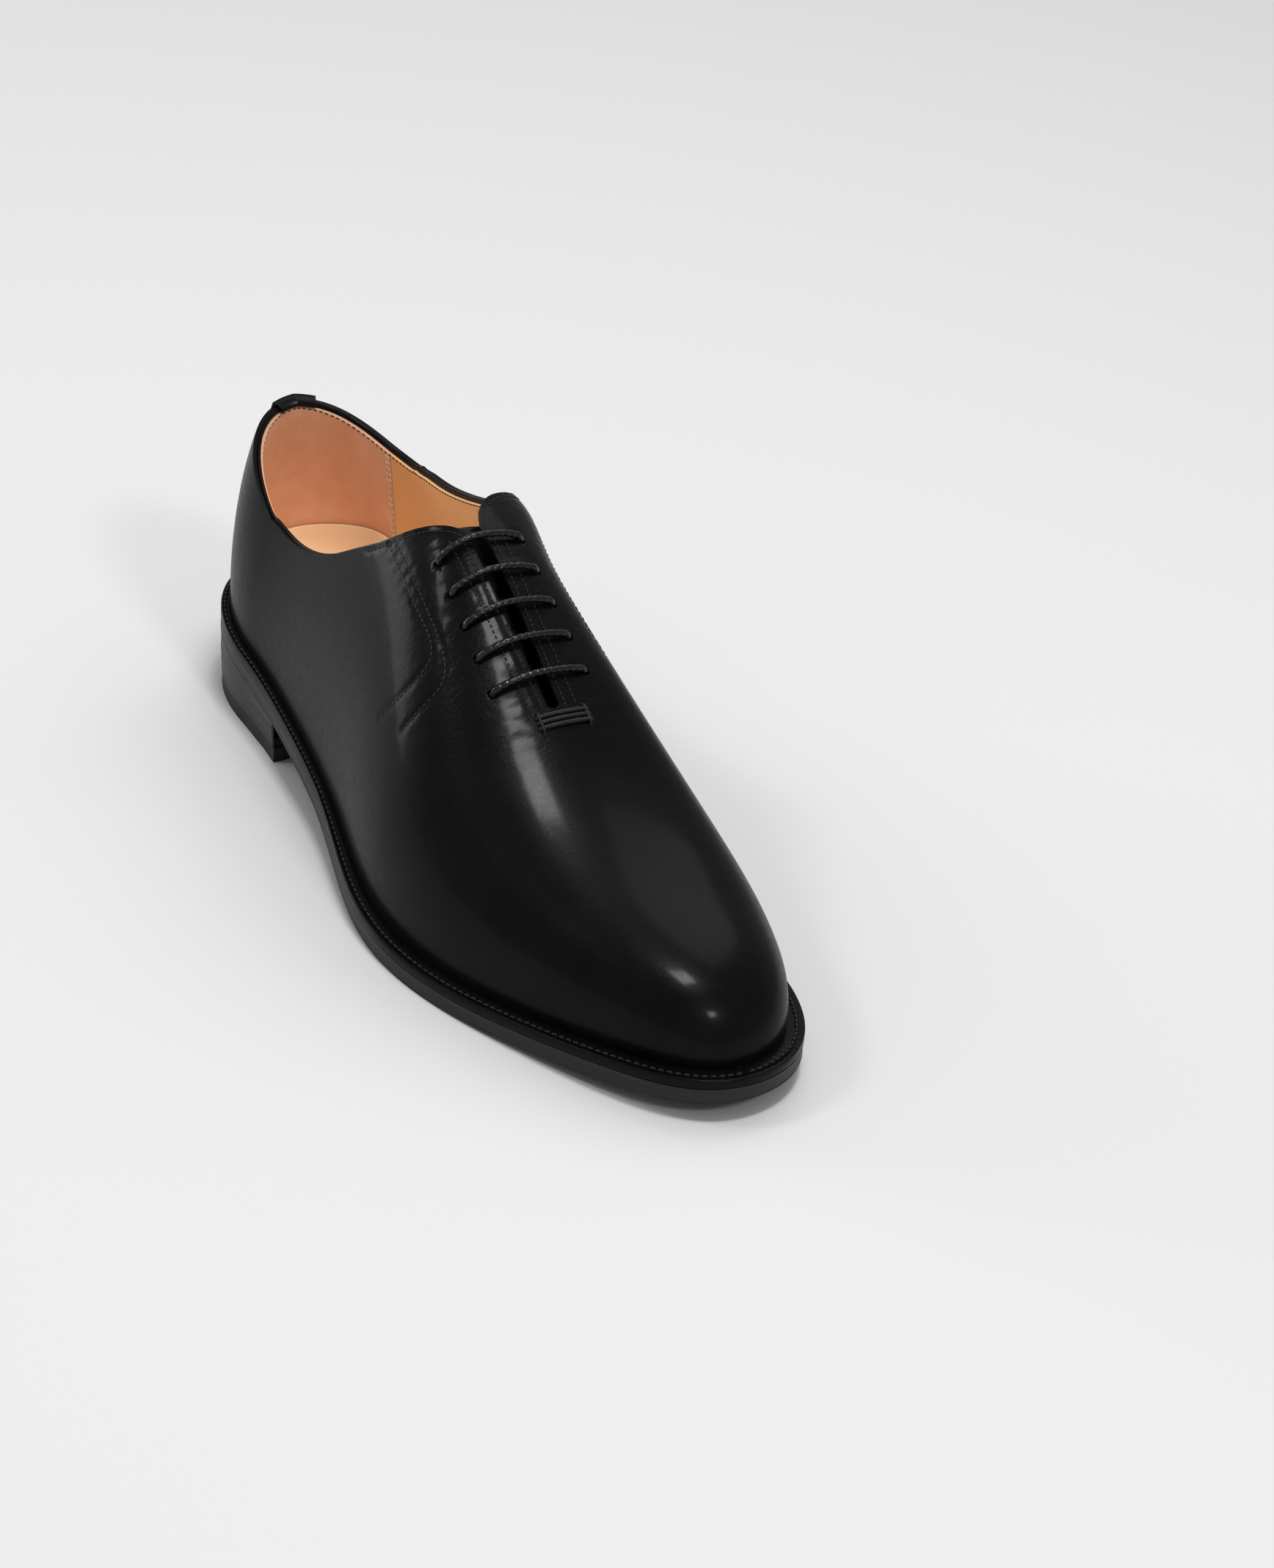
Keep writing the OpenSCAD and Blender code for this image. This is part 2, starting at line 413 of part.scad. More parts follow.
// Stiff sheath that carries on from the end of a tail
module aglet(route) {
    end = route[len(route) - 1];
    way = unit(end - route[len(route) - 2]);
    color([0.03, 0.03, 0.03])
        cord([for (s = [0.05, 8, 16, 20]) end + way * s], lace_d + 0.1);
}
module aglet_lateral() {
    aglet(tail_lat);
}
module aglet_medial() {
    aglet(tail_med);
}

// Layers of the bottom
module through(out) {
    translate([0, 0, -5])
        linear_extrude(80)
            polygon(plan(out));
}
insole_z = feather + upper_t + 2 * gap;
sock_z = insole_z + insole_t + gap;
rings = [1, 0.95, 0.88, 0.76, 0.5];
// Sock liner: flat on the insole, its edge turned up against the linings. Rings of points shrink from
// the outline towards the middle line, and the last ring is closed across.
module sock_liner() {
    edge = plan(-4.7);
    n = len(plan_a);
    k = len(edge);
    m = k * len(rings);
    turned = [for (i = [0:k - 1]) let (a = plan_a[i < n ? i : k - i])
        [edge[i], [-0.5, max(-122, min(110, edge[i][1]))], ended(i < n ? cup_lat : cup_med, (a + 90) / 20)]];
    points = [for (z = [sock_z + sock_t, sock_z]) for (r = rings) for (t = turned)
        let (p = t[1] + (t[0] - t[1]) * r) [p[0], p[1], tread(p[1] + centre_y) + z + t[2] * pow(r, 8)]];
    bands = [for (j = [0:len(rings) - 2]) for (i = [0:k - 1])
        let (a = j * k + i, b = j * k + (i + 1) % k)
        each concat(quad(b, a, a + k, b + k), quad(a + m, b + m, b + k + m, a + k + m))];
    wall = [for (i = [0:k - 1]) let (j = (i + 1) % k) each quad(i, j, j + m, i + m)];
    e = m - k;
    middle = [for (i = [1:n - 2]) let (a = e + i, b = e + i + 1, c = e + k - i - 1, d = e + k - i)
        each i == n - 2 ? [[b, a, d], [b + m, d + m, a + m]]
            : concat(quad(b, a, d, c), quad(a + m, b + m, c + m, d + m))];
    back = [[e + 1, e, e + k - 1], [e + 1 + m, e + k - 1 + m, e + m]];
    color([0.93, 0.76, 0.58])
        polyhedron(points, concat(bands, wall, middle, back), convexity = 6);
}
module insole() {
    color([0.8, 0.66, 0.48])
        sole_layer(insole_z, insole_z + insole_t, -4.2);
}
module insole_rib() {
    color([0.87, 0.84, 0.76])
        difference() {
            sole_layer(outsole_t + gap, insole_z - gap, -margin_w - 0.6);
            through(-margin_w - 2.4);
        }
}
module shank_strip(low, high, wide, from, to) {
    intersection() {
        layer(low, high);
        translate([-5, 0, -5])
            linear_extrude(60)
                union() {
                    translate([-wide / 2, from - centre_y])
                        square([wide, to - from]);
                    for (s = [from, to])
                        translate([0, s - centre_y])
                            circle(d = wide, $fn = 48);
                }
    }
}
module cork_filler() {
    color([0.66, 0.5, 0.33])
        difference() {
            sole_layer(outsole_t + gap, insole_z - gap, -margin_w - 2.6);
            shank_strip(outsole_t - 1, outsole_t + 1.9, 14.6, 40, 145);
        }
}
module steel_shank() {
    color([0.6, 0.6, 0.62])
        shank_strip(outsole_t + 0.2, outsole_t + 1.7, 14, 40, 145);
}
module welt() {
    color([0.03, 0.03, 0.03])
        difference() {
            sole_layer(outsole_t, feather, 0, 1);
            through(-margin_w + 1);
        }
}
module outsole() {
    color([0.07, 0.065, 0.06])
        sole_layer(0, outsole_t, 0, 1);
}

// Heel: stacked lifts with straight sides and a hollow breast
module heel_block(low, high, inset) {
    hollow_r = (30 * 30 + breast_hollow * breast_hollow) / (2 * breast_hollow);
    difference() {
        translate([0, 0, low])
            linear_extrude(high - low)
                polygon(plan(-inset, 1));
        translate([-80, heel_len - centre_y, low - 1])
            cube([160, 300, high - low + 2]);
        translate([-3, heel_len - breast_hollow + hollow_r - centre_y, low - 1])
            cylinder(r = hollow_r, h = high - low + 2, $fn = 180);
    }
}
module heel_wedge() {
    color([0.1, 0.095, 0.09])
        intersection() {
            heel_block(top_piece_t + 2 * lift_t, 40, 0.3);
            layer(-40, 0);
        }
}
module heel_lift_upper() {
    color([0.1, 0.095, 0.09])
        heel_block(top_piece_t + lift_t, top_piece_t + 2 * lift_t, 0.5);
}
module heel_lift_lower() {
    color([0.1, 0.095, 0.09])
        heel_block(top_piece_t, top_piece_t + lift_t, 0.7);
}
// Nails round the top piece: [sideways, from the back]
nail_xy = [[-27, 62], [-26, 34], [-4, 12], [19, 34], [20, 62]];
module heel_top_piece() {
    color([0.05, 0.05, 0.05])
        difference() {
            heel_block(0, top_piece_t, 1);
            for (p = nail_xy)
                translate([p[0], p[1] - centre_y, -1])
                    cylinder(d = 3, h = 4.2, $fn = 32);
        }
}
module heel_nails() {
    color([0.72, 0.55, 0.25])
        for (p = nail_xy)
            translate([p[0], p[1] - centre_y, 0.4])
                cylinder(d = 2.6, h = 2.7, $fn = 32);
}

wholecut_upper();
topline_binding();
heel_tab();
throat_bar_tack();
toe_puff();
heel_counter();
facing_stay_lateral();
facing_stay_medial();
quarter_lining_lateral();
quarter_lining_medial();
heel_grip_lining();
vamp_lining();
tongue_leather();
tongue_lining();
lace();
lace_tail_lateral();
lace_tail_medial();
aglet_lateral();
aglet_medial();
sock_liner();
insole();
insole_rib();
cork_filler();
steel_shank();
welt();
outsole();
heel_wedge();
heel_lift_upper();
heel_lift_lower();
heel_top_piece();
heel_nails();
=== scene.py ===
"""Plain black wholecut oxford for the right foot, dressed over its CAD frame.

Shapes are worked out in millimetres on the CAD's own fitted surface, where a place is a station
angle a (-90 back seam, 90 toe tip) and a side number w (1 lateral feather edge, 0 instep ridge,
-1 medial feather edge), and go into Blender in metres.
"""
import json
import math

import bmesh
import bpy
import numpy as np
from mathutils import Matrix, Vector, kdtree, noise

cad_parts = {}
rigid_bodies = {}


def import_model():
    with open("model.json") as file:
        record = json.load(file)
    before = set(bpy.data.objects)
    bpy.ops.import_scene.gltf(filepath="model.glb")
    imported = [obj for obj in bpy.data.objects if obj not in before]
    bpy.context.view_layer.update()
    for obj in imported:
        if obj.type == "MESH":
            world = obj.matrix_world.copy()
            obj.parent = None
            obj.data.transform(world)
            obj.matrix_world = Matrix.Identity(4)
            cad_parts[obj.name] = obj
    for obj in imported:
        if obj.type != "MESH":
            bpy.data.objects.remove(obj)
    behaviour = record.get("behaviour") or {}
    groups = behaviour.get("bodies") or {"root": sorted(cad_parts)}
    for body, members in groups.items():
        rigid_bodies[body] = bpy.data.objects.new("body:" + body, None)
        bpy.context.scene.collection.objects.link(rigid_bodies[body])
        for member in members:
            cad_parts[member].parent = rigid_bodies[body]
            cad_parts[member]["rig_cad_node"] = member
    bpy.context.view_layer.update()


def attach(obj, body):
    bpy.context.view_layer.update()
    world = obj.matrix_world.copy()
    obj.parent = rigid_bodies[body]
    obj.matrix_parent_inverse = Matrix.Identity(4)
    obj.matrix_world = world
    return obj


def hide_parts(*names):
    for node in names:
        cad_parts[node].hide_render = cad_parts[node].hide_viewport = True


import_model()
MM = 0.001


# ---- The fitted surface: the same tables and functions as the CAD, in millimetres ----
MID_X = [-0.6, 2.9, 7.6, 10.4, 4.6, -2.4, -5.6, -6.9, -6.7, -5.5]
HALF_W = [30, 31.5, 34.2, 46.3, 57, 62, 64.2, 67.5, 73.8, 79]
RIDGE_X = [0.7, 1.5, 2.2, 2, 0.5, -1.9, -4, -5, -5.6, -5.7]
RIDGE_H = [88, 97, 105, 91, 71.5, 61.5, 61, 67.5, 78, 86.5]
SIDE_FLARE = [0.5, 1, 2, 2.8, 3.5, 3.7, 3.5, 3.7, 4.3, 4.7]
SIDE_RISE = [0.45, 0.47, 0.52, 0.6, 0.66, 0.68, 0.68, 0.66, 0.62, 0.58]
FULL_LAT = [0.5, 0.5, 0.5, 0.46, 0.38, 0.32, 0.28, 0.27, 0.31, 0.35]
FULL_MED = [0, -0.2, -0.34, -0.32, -0.12, 0.07, 0.2, 0.25, 0.3, 0.33]
TREAD_Z = [23.4, 21, 18.4, 15.8, 13.4, 11.2, 8.5, 5.3, 2.5, 0.75, -0.03, -0.03, 0.95, 2.7, 4.6,
           6, 7.2]
RIM_LAT = [[-90, .527], [-72, .508], [-54, .462], [-36, .42], [-20, .39], [-7, .368], [3, .37],
           [9, .44], [13, .545], [15.6, .62], [17, .69], [18.6, .79], [20, .895], [20.9, .95],
           [21.2, .957]]
RIM_MED = [[-90, .527], [-72, .502], [-54, .468], [-36, .443], [-20, .446], [-7, .456], [3, .489],
           [8, .545], [12, .6], [14.4, .66], [15.8, .73], [16.8, .82], [18, .91], [19.6, .96],
           [21.2, .973]]
RIM_STEPS = len(RIM_LAT) - 1
RIM_END_A = 21.2
# Where heel meets waist the rim is eased by (share of the way up, y in mm, spread in mm).
RIM_EASE = {1: (0.008, -102, 12), -1: (-0.011, -100.5, 5)}
FACING_TOP = {1: 0.957, -1: 0.973}
FACING_RISE = {1: 0.021, -1: 0.01}
FACING_SPAN = 13
LOBE_A, LOBE_A_SPREAD, LOBE_T, LOBE_T_SPREAD = 16.5, 4.5, 0.71, 0.15
LOBE_OUT = 5
CUP_LAT = [8.5, 8.5, 8, 7, 6, 3, 0, 0, 0, 0]
CUP_MED = [8.5, 10.5, 15, 18, 15, 8, 1, 0, 0, 0]
CENTRE_X, CENTRE_Y = 4, 152
HEEL_AXIS, FORE_LEN, HEEL_BACK, HEEL_POWER = 50, 248, 47, 2.2
OUTSOLE_T, WELT_T = 5, 3
FEATHER = OUTSOLE_T + WELT_T
BACK_FLARE, BACK_LEAN = 3, 0.14
THROAT_A = 35.2
SIDES = ((1, "lateral"), (-1, "medial"))


def blend4(a, b, c, d, f):
    return (a * (1 - f) ** 3 + b * (3 * f**3 - 6 * f * f + 4)
            + c * (-3 * f**3 + 3 * f * f + 3 * f + 1) + d * f**3) / 6


def even(values, a):
    """Cubic spline through a table every 10 degrees of station angle, mirrored at both ends."""
    v = np.array(values, float)
    n = len(v)
    x = np.clip(a, 0, 90) / 10
    i = np.floor(x).astype(int)

    def at(k):
        k = np.abs(k)
        return v[np.where(k > n - 1, 2 * (n - 1) - k, k)]

    return blend4(at(i - 1), at(i), at(i + 1), at(i + 2), x - i)


def ended(values, x):
    """Cubic spline through a table of numbers or points, running straight out of both ends."""
    v = np.array(values, float)
    v = np.concatenate([[2 * v[0] - v[1]], v, [2 * v[-1] - v[-2]]])
    x = np.clip(np.asarray(x, float), 0, len(v) - 3)
    i = np.minimum(np.floor(x).astype(int), len(v) - 4)
    f = x - i
    if v.ndim > 1:
        f = f[..., None]
    return blend4(v[i], v[i + 1], v[i + 2], v[i + 3], f)


def tread(s):
    return ended(TREAD_Z, np.asarray(s, float) / 20)


def foot(a, side):
    """Feather edge: x, y from the heel back, inward direction x and y, width to the ridge."""
    ra = np.radians(a)
    ca, sa = np.cos(ra), np.sin(ra)
    w0 = HALF_W_0 + side * (MID_0 - RIDGE_0)
    cb, sb = np.where(a < 0, np.maximum(ca, 0), 1), np.where(a < 0, -sa, 0)
    r = (((cb / w0) ** HEEL_POWER + (np.maximum(sb, 0) / HEEL_BACK) ** HEEL_POWER)
         ** (-1 / HEEL_POWER))
    w = even(HALF_W, a) * ca
    back = a < 0
    return (np.where(back, RIDGE_0 + side * r * ca, even(MID_X, a) + side * w),
            np.where(back, HEEL_AXIS + r * sa, HEEL_AXIS + FORE_LEN * sa),
            np.where(back, -side * ca, -side * 1.0), np.where(back, -sa, 0.0),
            np.where(back, r, side * (even(MID_X, a) - even(RIDGE_X, a)) + w))


HALF_W_0, MID_0, RIDGE_0 = (float(even(t, np.array(0.0))) for t in (HALF_W, MID_X, RIDGE_X))


def skin(a, w):
    """Outside of the upper at station angle a and side number w, as points in millimetres."""
    a, w = np.broadcast_arrays(np.asarray(a, float), np.asarray(w, float))
    flip_lo, flip_hi = a < -90, a > 90
    a = np.where(flip_lo, -180 - a, np.where(flip_hi, 180 - a, a))
    w = np.where(flip_lo | flip_hi, -w, w)
    side = np.where(w < 0, -1.0, 1.0)
    t = 1 - np.abs(w)
    px, py, nx, ny, width = foot(a, side)
    back = np.sin(np.radians(np.maximum(0, -a))) ** 2
    ca = np.cos(np.radians(np.maximum(0, a)))
    h = even(RIDGE_H, a) * ca
    flare = even(SIDE_FLARE, a) * np.sqrt(ca) + (BACK_FLARE - SIDE_FLARE[0]) * back
    full = np.where(side > 0, even(FULL_LAT, a), even(FULL_MED, a))
    lean = full + (BACK_LEAN - full) * back
    b1, b2, b3 = 3 * t * (1 - t) ** 2, 3 * t * t * (1 - t), t**3
    d = -flare * b1 + lean * width * b2 + width * b3
    z = even(SIDE_RISE, a) * h * b1 + h * (b2 + b3)
    swell = np.exp(-((a - LOBE_A) / LOBE_A_SPREAD) ** 2 - ((t - LOBE_T) / LOBE_T_SPREAD) ** 2)
    lobe = np.where(side > 0, 0, LOBE_OUT * swell)
    return np.stack([px + nx * d - CENTRE_X - lobe, py + ny * d - CENTRE_Y,
                     z + tread(py) + FEATHER], -1)


def unit(v):
    return v / np.maximum(np.linalg.norm(v, axis=-1, keepdims=True), 1e-12)


def normal(a, w):
    return unit(np.cross(skin(a, w + 0.01) - skin(a, w - 0.01),
                         skin(a + 0.5, w) - skin(a - 0.5, w)))


def under(a, w, depth=0.0):
    """A point at a depth below the outside of the upper."""
    return skin(a, w) - normal(a, w) * np.asarray(depth, float)[..., None]


def rim_table(side, u):
    """Station angle and share of the way up along one side's rim, eased where heel meets waist."""
    p = ended(RIM_LAT if side > 0 else RIM_MED, u)
    y = foot(p[..., 0], side)[1] - CENTRE_Y
    share, centre, spread = RIM_EASE[side]
    ease = share * np.exp(-(((y - centre) / spread) ** 2))
    return np.stack([p[..., 0], p[..., 1] + ease], -1)


def rim(u):
    """Place on the rim: -14 at the medial facing, 0 at the back seam, 14 at the lateral facing."""
    u = np.asarray(u, float)
    lat, med = rim_table(1, np.abs(u)), rim_table(-1, np.abs(u))
    p = np.where((u < 0)[..., None], med, lat)
    return np.where(u < 0, -180 - p[..., 0], p[..., 0]), 1 - p[..., 1]


def facing_t(a, side):
    """Share of the way up at the free edge of a facing, above the end of the rim table."""
    return FACING_TOP[side] + FACING_RISE[side] * (a - RIM_END_A) / FACING_SPAN


UPPER_T, LINING_T, STIFF_T, GAP = 1.4, 1.0, 1.0, 0.1
STIFF_D = UPPER_T + GAP
LINING_D = STIFF_D + STIFF_T + GAP
INSIDE_D = LINING_D + LINING_T
LINING_FOOT, LINING_TOP = 2, 0.985
LACE_D = 2.4
LACE_RUN_D = INSIDE_D + 0.2 + LACE_D / 2
LACE_OVER_D = -LACE_D / 2 - 0.5
TONGUE_T, TONGUE_CLEAR = 1.2, 0.6
TONGUE_D = INSIDE_D + LACE_D + TONGUE_CLEAR
TONGUE_TIP_A, TONGUE_ROOT_A, TONGUE_HALF_W = 19.4, 39, 0.265
INSOLE_T, SOCK_T = 3, 1.2
INSOLE_Z = FEATHER + UPPER_T + 2 * GAP
SOCK_Z = INSOLE_Z + INSOLE_T + GAP
WELT_OUT, WELT_BACK, WELT_PITCH = 5, 3, 2.5
HEEL_LEN, TOP_PIECE_T, LIFT_T, BREAST_HOLLOW, BREAST_HALF_W = 76, 5, 3.6, 4, 30
EYELET_A = [22, 24.7, 27.3, 29.9, 32.6]
EYELET_V = {1: 0.822, -1: 0.877}
EYELET_R = 1.55
SEAM_U = 3.4


# ---- Camera and light ----
def new_object(name, data):
    obj = bpy.data.objects.new(name, data)
    bpy.context.collection.objects.link(obj)
    return obj


def camera():
    az, el, roll, distance = math.radians(148.2), math.radians(29.1), math.radians(5.07), 1.132
    target = Vector((-0.0439, 0.010, 0.050))
    back = Vector((math.sin(az) * math.cos(el), -math.cos(az) * math.cos(el), math.sin(el)))
    right = Vector((0, 0, 1)).cross(back).normalized()
    up = back.cross(right)
    right, up = (right * math.cos(roll) + up * math.sin(roll),
                 up * math.cos(roll) - right * math.sin(roll))
    data = bpy.data.cameras.new("camera")
    data.sensor_fit = "HORIZONTAL"
    data.sensor_width = 36
    data.lens = 104.66
    data.shift_x, data.shift_y = 0.0144, -0.0599
    data.clip_end = 50
    cam = new_object("camera", data)
    turn = Matrix((right, up, back)).transposed().to_4x4()
    cam.matrix_world = Matrix.Translation(target + back * distance) @ turn
    bpy.context.scene.camera = cam


def softbox(name, place, size, power, aim=(0, 0.02, 0.04)):
    data = bpy.data.lights.new(name, "AREA")
    data.shape = "RECTANGLE"
    data.size, data.size_y = size
    data.energy = power
    light = new_object(name, data)
    light.location = place
    light.rotation_euler = (Vector(place) - Vector(aim)).to_track_quat("Z", "Y").to_euler()


def studio():
    world = bpy.data.worlds.new("studio")
    world.use_nodes = True
    background = world.node_tree.nodes["Background"]
    background.inputs["Color"].default_value = (1, 1, 1, 1)
    background.inputs["Strength"].default_value = 0.44
    bpy.context.scene.world = world
    bpy.context.scene.view_settings.view_transform = "Standard"
    bpy.context.scene.view_settings.gamma = 0.8
    softbox("overhead", (-0.02, 0.24, 1.6), (0.36, 0.26), 8.5)
    softbox("toe_front", (-0.07, 1.75, 1.55), (0.34, 0.28), 8.5)
    softbox("instep", (1.18, -0.66, 1.6), (0.35, 0.30), 5)
    softbox("back_fill", (-0.90, -0.80, 1.7), (1.3, 1.1), 7.5)
    softbox("left", (1.25, -2.0, 0.5), (1.4, 0.8), 13, aim=(0, -0.05, 0.05))
    bpy.ops.mesh.primitive_plane_add(size=12)
    floor = bpy.context.object
    floor.name = "floor"
    mat, bsdf = new_material("floor_paper")[:2]
    bsdf.inputs["Base Color"].default_value = (0.8, 0.8, 0.8, 1)
    bsdf.inputs["Roughness"].default_value = 0.9
    bsdf.inputs["Specular IOR Level"].default_value = 0.1
    floor.data.materials.append(mat)


# ---- Materials: all from noise on object coordinates, in metres ----
def new_material(name):
    mat = bpy.data.materials.new(name)
    mat.use_nodes = True
    nodes, links = mat.node_tree.nodes, mat.node_tree.links
    coord = nodes.new("ShaderNodeTexCoord").outputs["Object"]
    return mat, nodes["Principled BSDF"], links, nodes, coord


def noise_node(nodes, links, coord, size_mm, detail=3.0, stretch=None):
    """Noise whose features are about size_mm across, drawn out along some axes by stretch."""
    tex = nodes.new("ShaderNodeTexNoise")
    tex.inputs["Scale"].default_value = 1000 / size_mm
    tex.inputs["Detail"].default_value = detail
    source = coord
    if stretch:
        mapping = nodes.new("ShaderNodeMapping")
        mapping.inputs["Scale"].default_value = stretch
        links.new(coord, mapping.inputs["Vector"])
        source = mapping.outputs["Vector"]
    links.new(source, tex.inputs["Vector"])
    return tex.outputs["Fac"]


def cells_node(nodes, links, coord, size_mm):
    tex = nodes.new("ShaderNodeTexVoronoi")
    tex.inputs["Scale"].default_value = 1000 / size_mm
    links.new(coord, tex.inputs["Vector"])
    return tex.outputs["Distance"]


def ranged(nodes, links, value, low, high, from_low=0.3, from_high=0.7):
    node = nodes.new("ShaderNodeMapRange")
    limits = {"From Min": from_low, "From Max": from_high, "To Min": low, "To Max": high}
    for name, number in limits.items():
        node.inputs[name].default_value = number
    links.new(value, node.inputs["Value"])
    return node.outputs["Result"]


def mixed(nodes, links, value, colour_a, colour_b):
    node = nodes.new("ShaderNodeMix")
    node.data_type = "RGBA"
    node.inputs[6].default_value = (*colour_a, 1)
    node.inputs[7].default_value = (*colour_b, 1)
    links.new(value, node.inputs[0])
    return node.outputs[2]


def bumps(nodes, links, bsdf, heights):
    """Chain of bumps: each is (height output, distance in mm, strength)."""
    last = None
    for height, distance, strength in heights:
        node = nodes.new("ShaderNodeBump")
        node.inputs["Distance"].default_value = distance * MM
        node.inputs["Strength"].default_value = strength
        links.new(height, node.inputs["Height"])
        if last:
            links.new(last, node.inputs["Normal"])
        last = node.outputs["Normal"]
    links.new(last, bsdf.inputs["Normal"])


def surface(name, colours, rough, patch_mm, layers, coat=None, sheen=None, stretch=None,
            metallic=0.0, specular=0.5):
    """One finish: colour and roughness drift over patches of patch_mm; layers are bumps
    (kind, size in mm, distance in mm, strength, and a stretch if any); coat is (weight, roughness),
    sheen (weight, roughness, tint)."""
    mat, bsdf, links, nodes, coord = new_material(name)
    patches = noise_node(nodes, links, coord, patch_mm, 4, stretch)
    fine = noise_node(nodes, links, coord, patch_mm / 8, 4, stretch)
    drift = ranged(nodes, links, patches, 0, 1)
    links.new(mixed(nodes, links, drift, *colours), bsdf.inputs["Base Color"])
    links.new(ranged(nodes, links, fine, *rough), bsdf.inputs["Roughness"])
    heights = []
    for kind, size, distance, strength, *pull in layers:
        if kind == "cells":
            height = cells_node(nodes, links, coord, size)
        else:
            height = noise_node(nodes, links, coord, size, 3, *pull)
        heights.append((height, distance, strength))
    bumps(nodes, links, bsdf, heights)
    bsdf.inputs["Metallic"].default_value = metallic
    bsdf.inputs["Specular IOR Level"].default_value = specular
    if coat:
        bsdf.inputs["Coat Weight"].default_value = coat[0]
        bsdf.inputs["Coat Roughness"].default_value = coat[1]
    if sheen:
        bsdf.inputs["Sheen Weight"].default_value = sheen[0]
        bsdf.inputs["Sheen Roughness"].default_value = sheen[1]
        bsdf.inputs["Sheen Tint"].default_value = (*sheen[2], 1)
    return mat


LACING_CENTRE = (-0.004, 0.022, 0.088)
CREASES_NEAR, CREASES_FAR = 0.026, 0.052


def calf_black():
    """Box calf: near black and smooth, with a very fine grain, a polished top coat, and fine
    creases that fade out away from the lacing."""
    mat = surface("calf_black", ((0.0035, 0.0035, 0.0038), (0.007, 0.0068, 0.007)), (0.3, 0.38), 22,
                  [("noise", 9, 0.10, 0.35), ("cells", 0.75, 0.035, 0.5),
                   ("noise", 0.35, 0.02, 0.5)],
                  coat=(0.14, 0.13), specular=0.13)
    nodes, links = mat.node_tree.nodes, mat.node_tree.links
    bsdf = nodes["Principled BSDF"]
    coord = nodes.new("ShaderNodeTexCoord").outputs["Object"]
    away = nodes.new("ShaderNodeVectorMath")
    away.operation = "DISTANCE"
    away.inputs[1].default_value = LACING_CENTRE
    links.new(coord, away.inputs[0])
    creases = nodes.new("ShaderNodeBump")
    creases.inputs["Distance"].default_value = 0.22 * MM
    strength = ranged(nodes, links, away.outputs["Value"], 0.75, 0.0, CREASES_NEAR, CREASES_FAR)
    links.new(strength, creases.inputs["Strength"])
    height = noise_node(nodes, links, coord, 1.5, 4, (0.6, 1.4, 1.1))
    links.new(height, creases.inputs["Height"])
    links.new(bsdf.inputs["Normal"].links[0].from_socket, creases.inputs["Normal"])
    links.new(creases.outputs["Normal"], bsdf.inputs["Normal"])
    return mat


def edge_black():
    """Dressed edge of the sole and heel stack: dark satin, drawn out in fine level lines."""
    return surface("edge_black", ((0.016, 0.0155, 0.015), (0.034, 0.031, 0.028)), (0.34, 0.5), 9,
                   [("noise", 3.2, 0.12, 0.5, (0.25, 0.25, 6)), ("noise", 0.5, 0.03, 0.5)],
                   stretch=(0.2, 0.2, 7))


def rubber_black():
    return surface("rubber_black", ((0.017, 0.017, 0.018), (0.03, 0.03, 0.03)), (0.55, 0.7), 6,
                   [("noise", 0.5, 0.05, 0.6), ("noise", 3, 0.08, 0.4, (0.3, 0.3, 4))])


def lining_tan():
    """Smooth vegetable-tanned lining, warm tan, with faint drag marks and pores."""
    return surface("lining_tan", ((0.92, 0.56, 0.27), (0.96, 0.62, 0.32)), (0.42, 0.56), 26,
                   [("noise", 5, 0.12, 0.4), ("cells", 0.6, 0.02, 0.5)],
                   sheen=(0.15, 0.5, (1, 0.8, 0.6)))


def suede_pink():
    """Flesh side out: matt, pinkish tan, with a short brushed nap."""
    return surface("suede_pink", ((0.87, 0.52, 0.34), (0.92, 0.59, 0.42)), (0.8, 0.95), 7,
                   [("noise", 0.45, 0.18, 0.9), ("noise", 2.5, 0.15, 0.5, (1, 1, 0.4))],
                   sheen=(0.8, 0.45, (1, 0.82, 0.72)), specular=0.2)


def sock_leather():
    return surface("sock_leather", ((0.96, 0.74, 0.50), (0.98, 0.80, 0.58)), (0.45, 0.6), 30,
                   [("noise", 6, 0.15, 0.35), ("cells", 0.7, 0.02, 0.5)],
                   sheen=(0.2, 0.5, (1, 0.9, 0.8)))


def insole_leather():
    return surface("insole_leather", ((0.5, 0.33, 0.19), (0.62, 0.44, 0.27)), (0.6, 0.75), 15,
                   [("noise", 1.5, 0.1, 0.5)])


def stiffener():
    return surface("stiffener", ((0.55, 0.42, 0.27), (0.66, 0.53, 0.36)), (0.7, 0.85), 9,
                   [("noise", 0.8, 0.08, 0.6)])


def thread_black():
    """Waxed linen thread."""
    return surface("thread_black", ((0.011, 0.011, 0.012), (0.024, 0.023, 0.024)), (0.36, 0.55), 3,
                   [("noise", 0.25, 0.05, 0.7)], sheen=(0.1, 0.4, (0.8, 0.8, 0.9)))


def thread_tan():
    return surface("thread_tan", ((0.92, 0.78, 0.60), (0.97, 0.86, 0.70)), (0.5, 0.65), 3,
                   [("noise", 0.25, 0.05, 0.7)])


def lace_black():
    """Waxed cotton braid."""
    return surface("lace_black", ((0.006, 0.006, 0.0065), (0.013, 0.013, 0.014)), (0.24, 0.36), 3,
                   [("noise", 0.3, 0.04, 0.6)], coat=(0.25, 0.16))


def aglet_black():
    return surface("aglet_black", ((0.012, 0.012, 0.012), (0.02, 0.02, 0.02)), (0.18, 0.3), 5,
                   [("noise", 0.6, 0.02, 0.3)], coat=(0.5, 0.1))


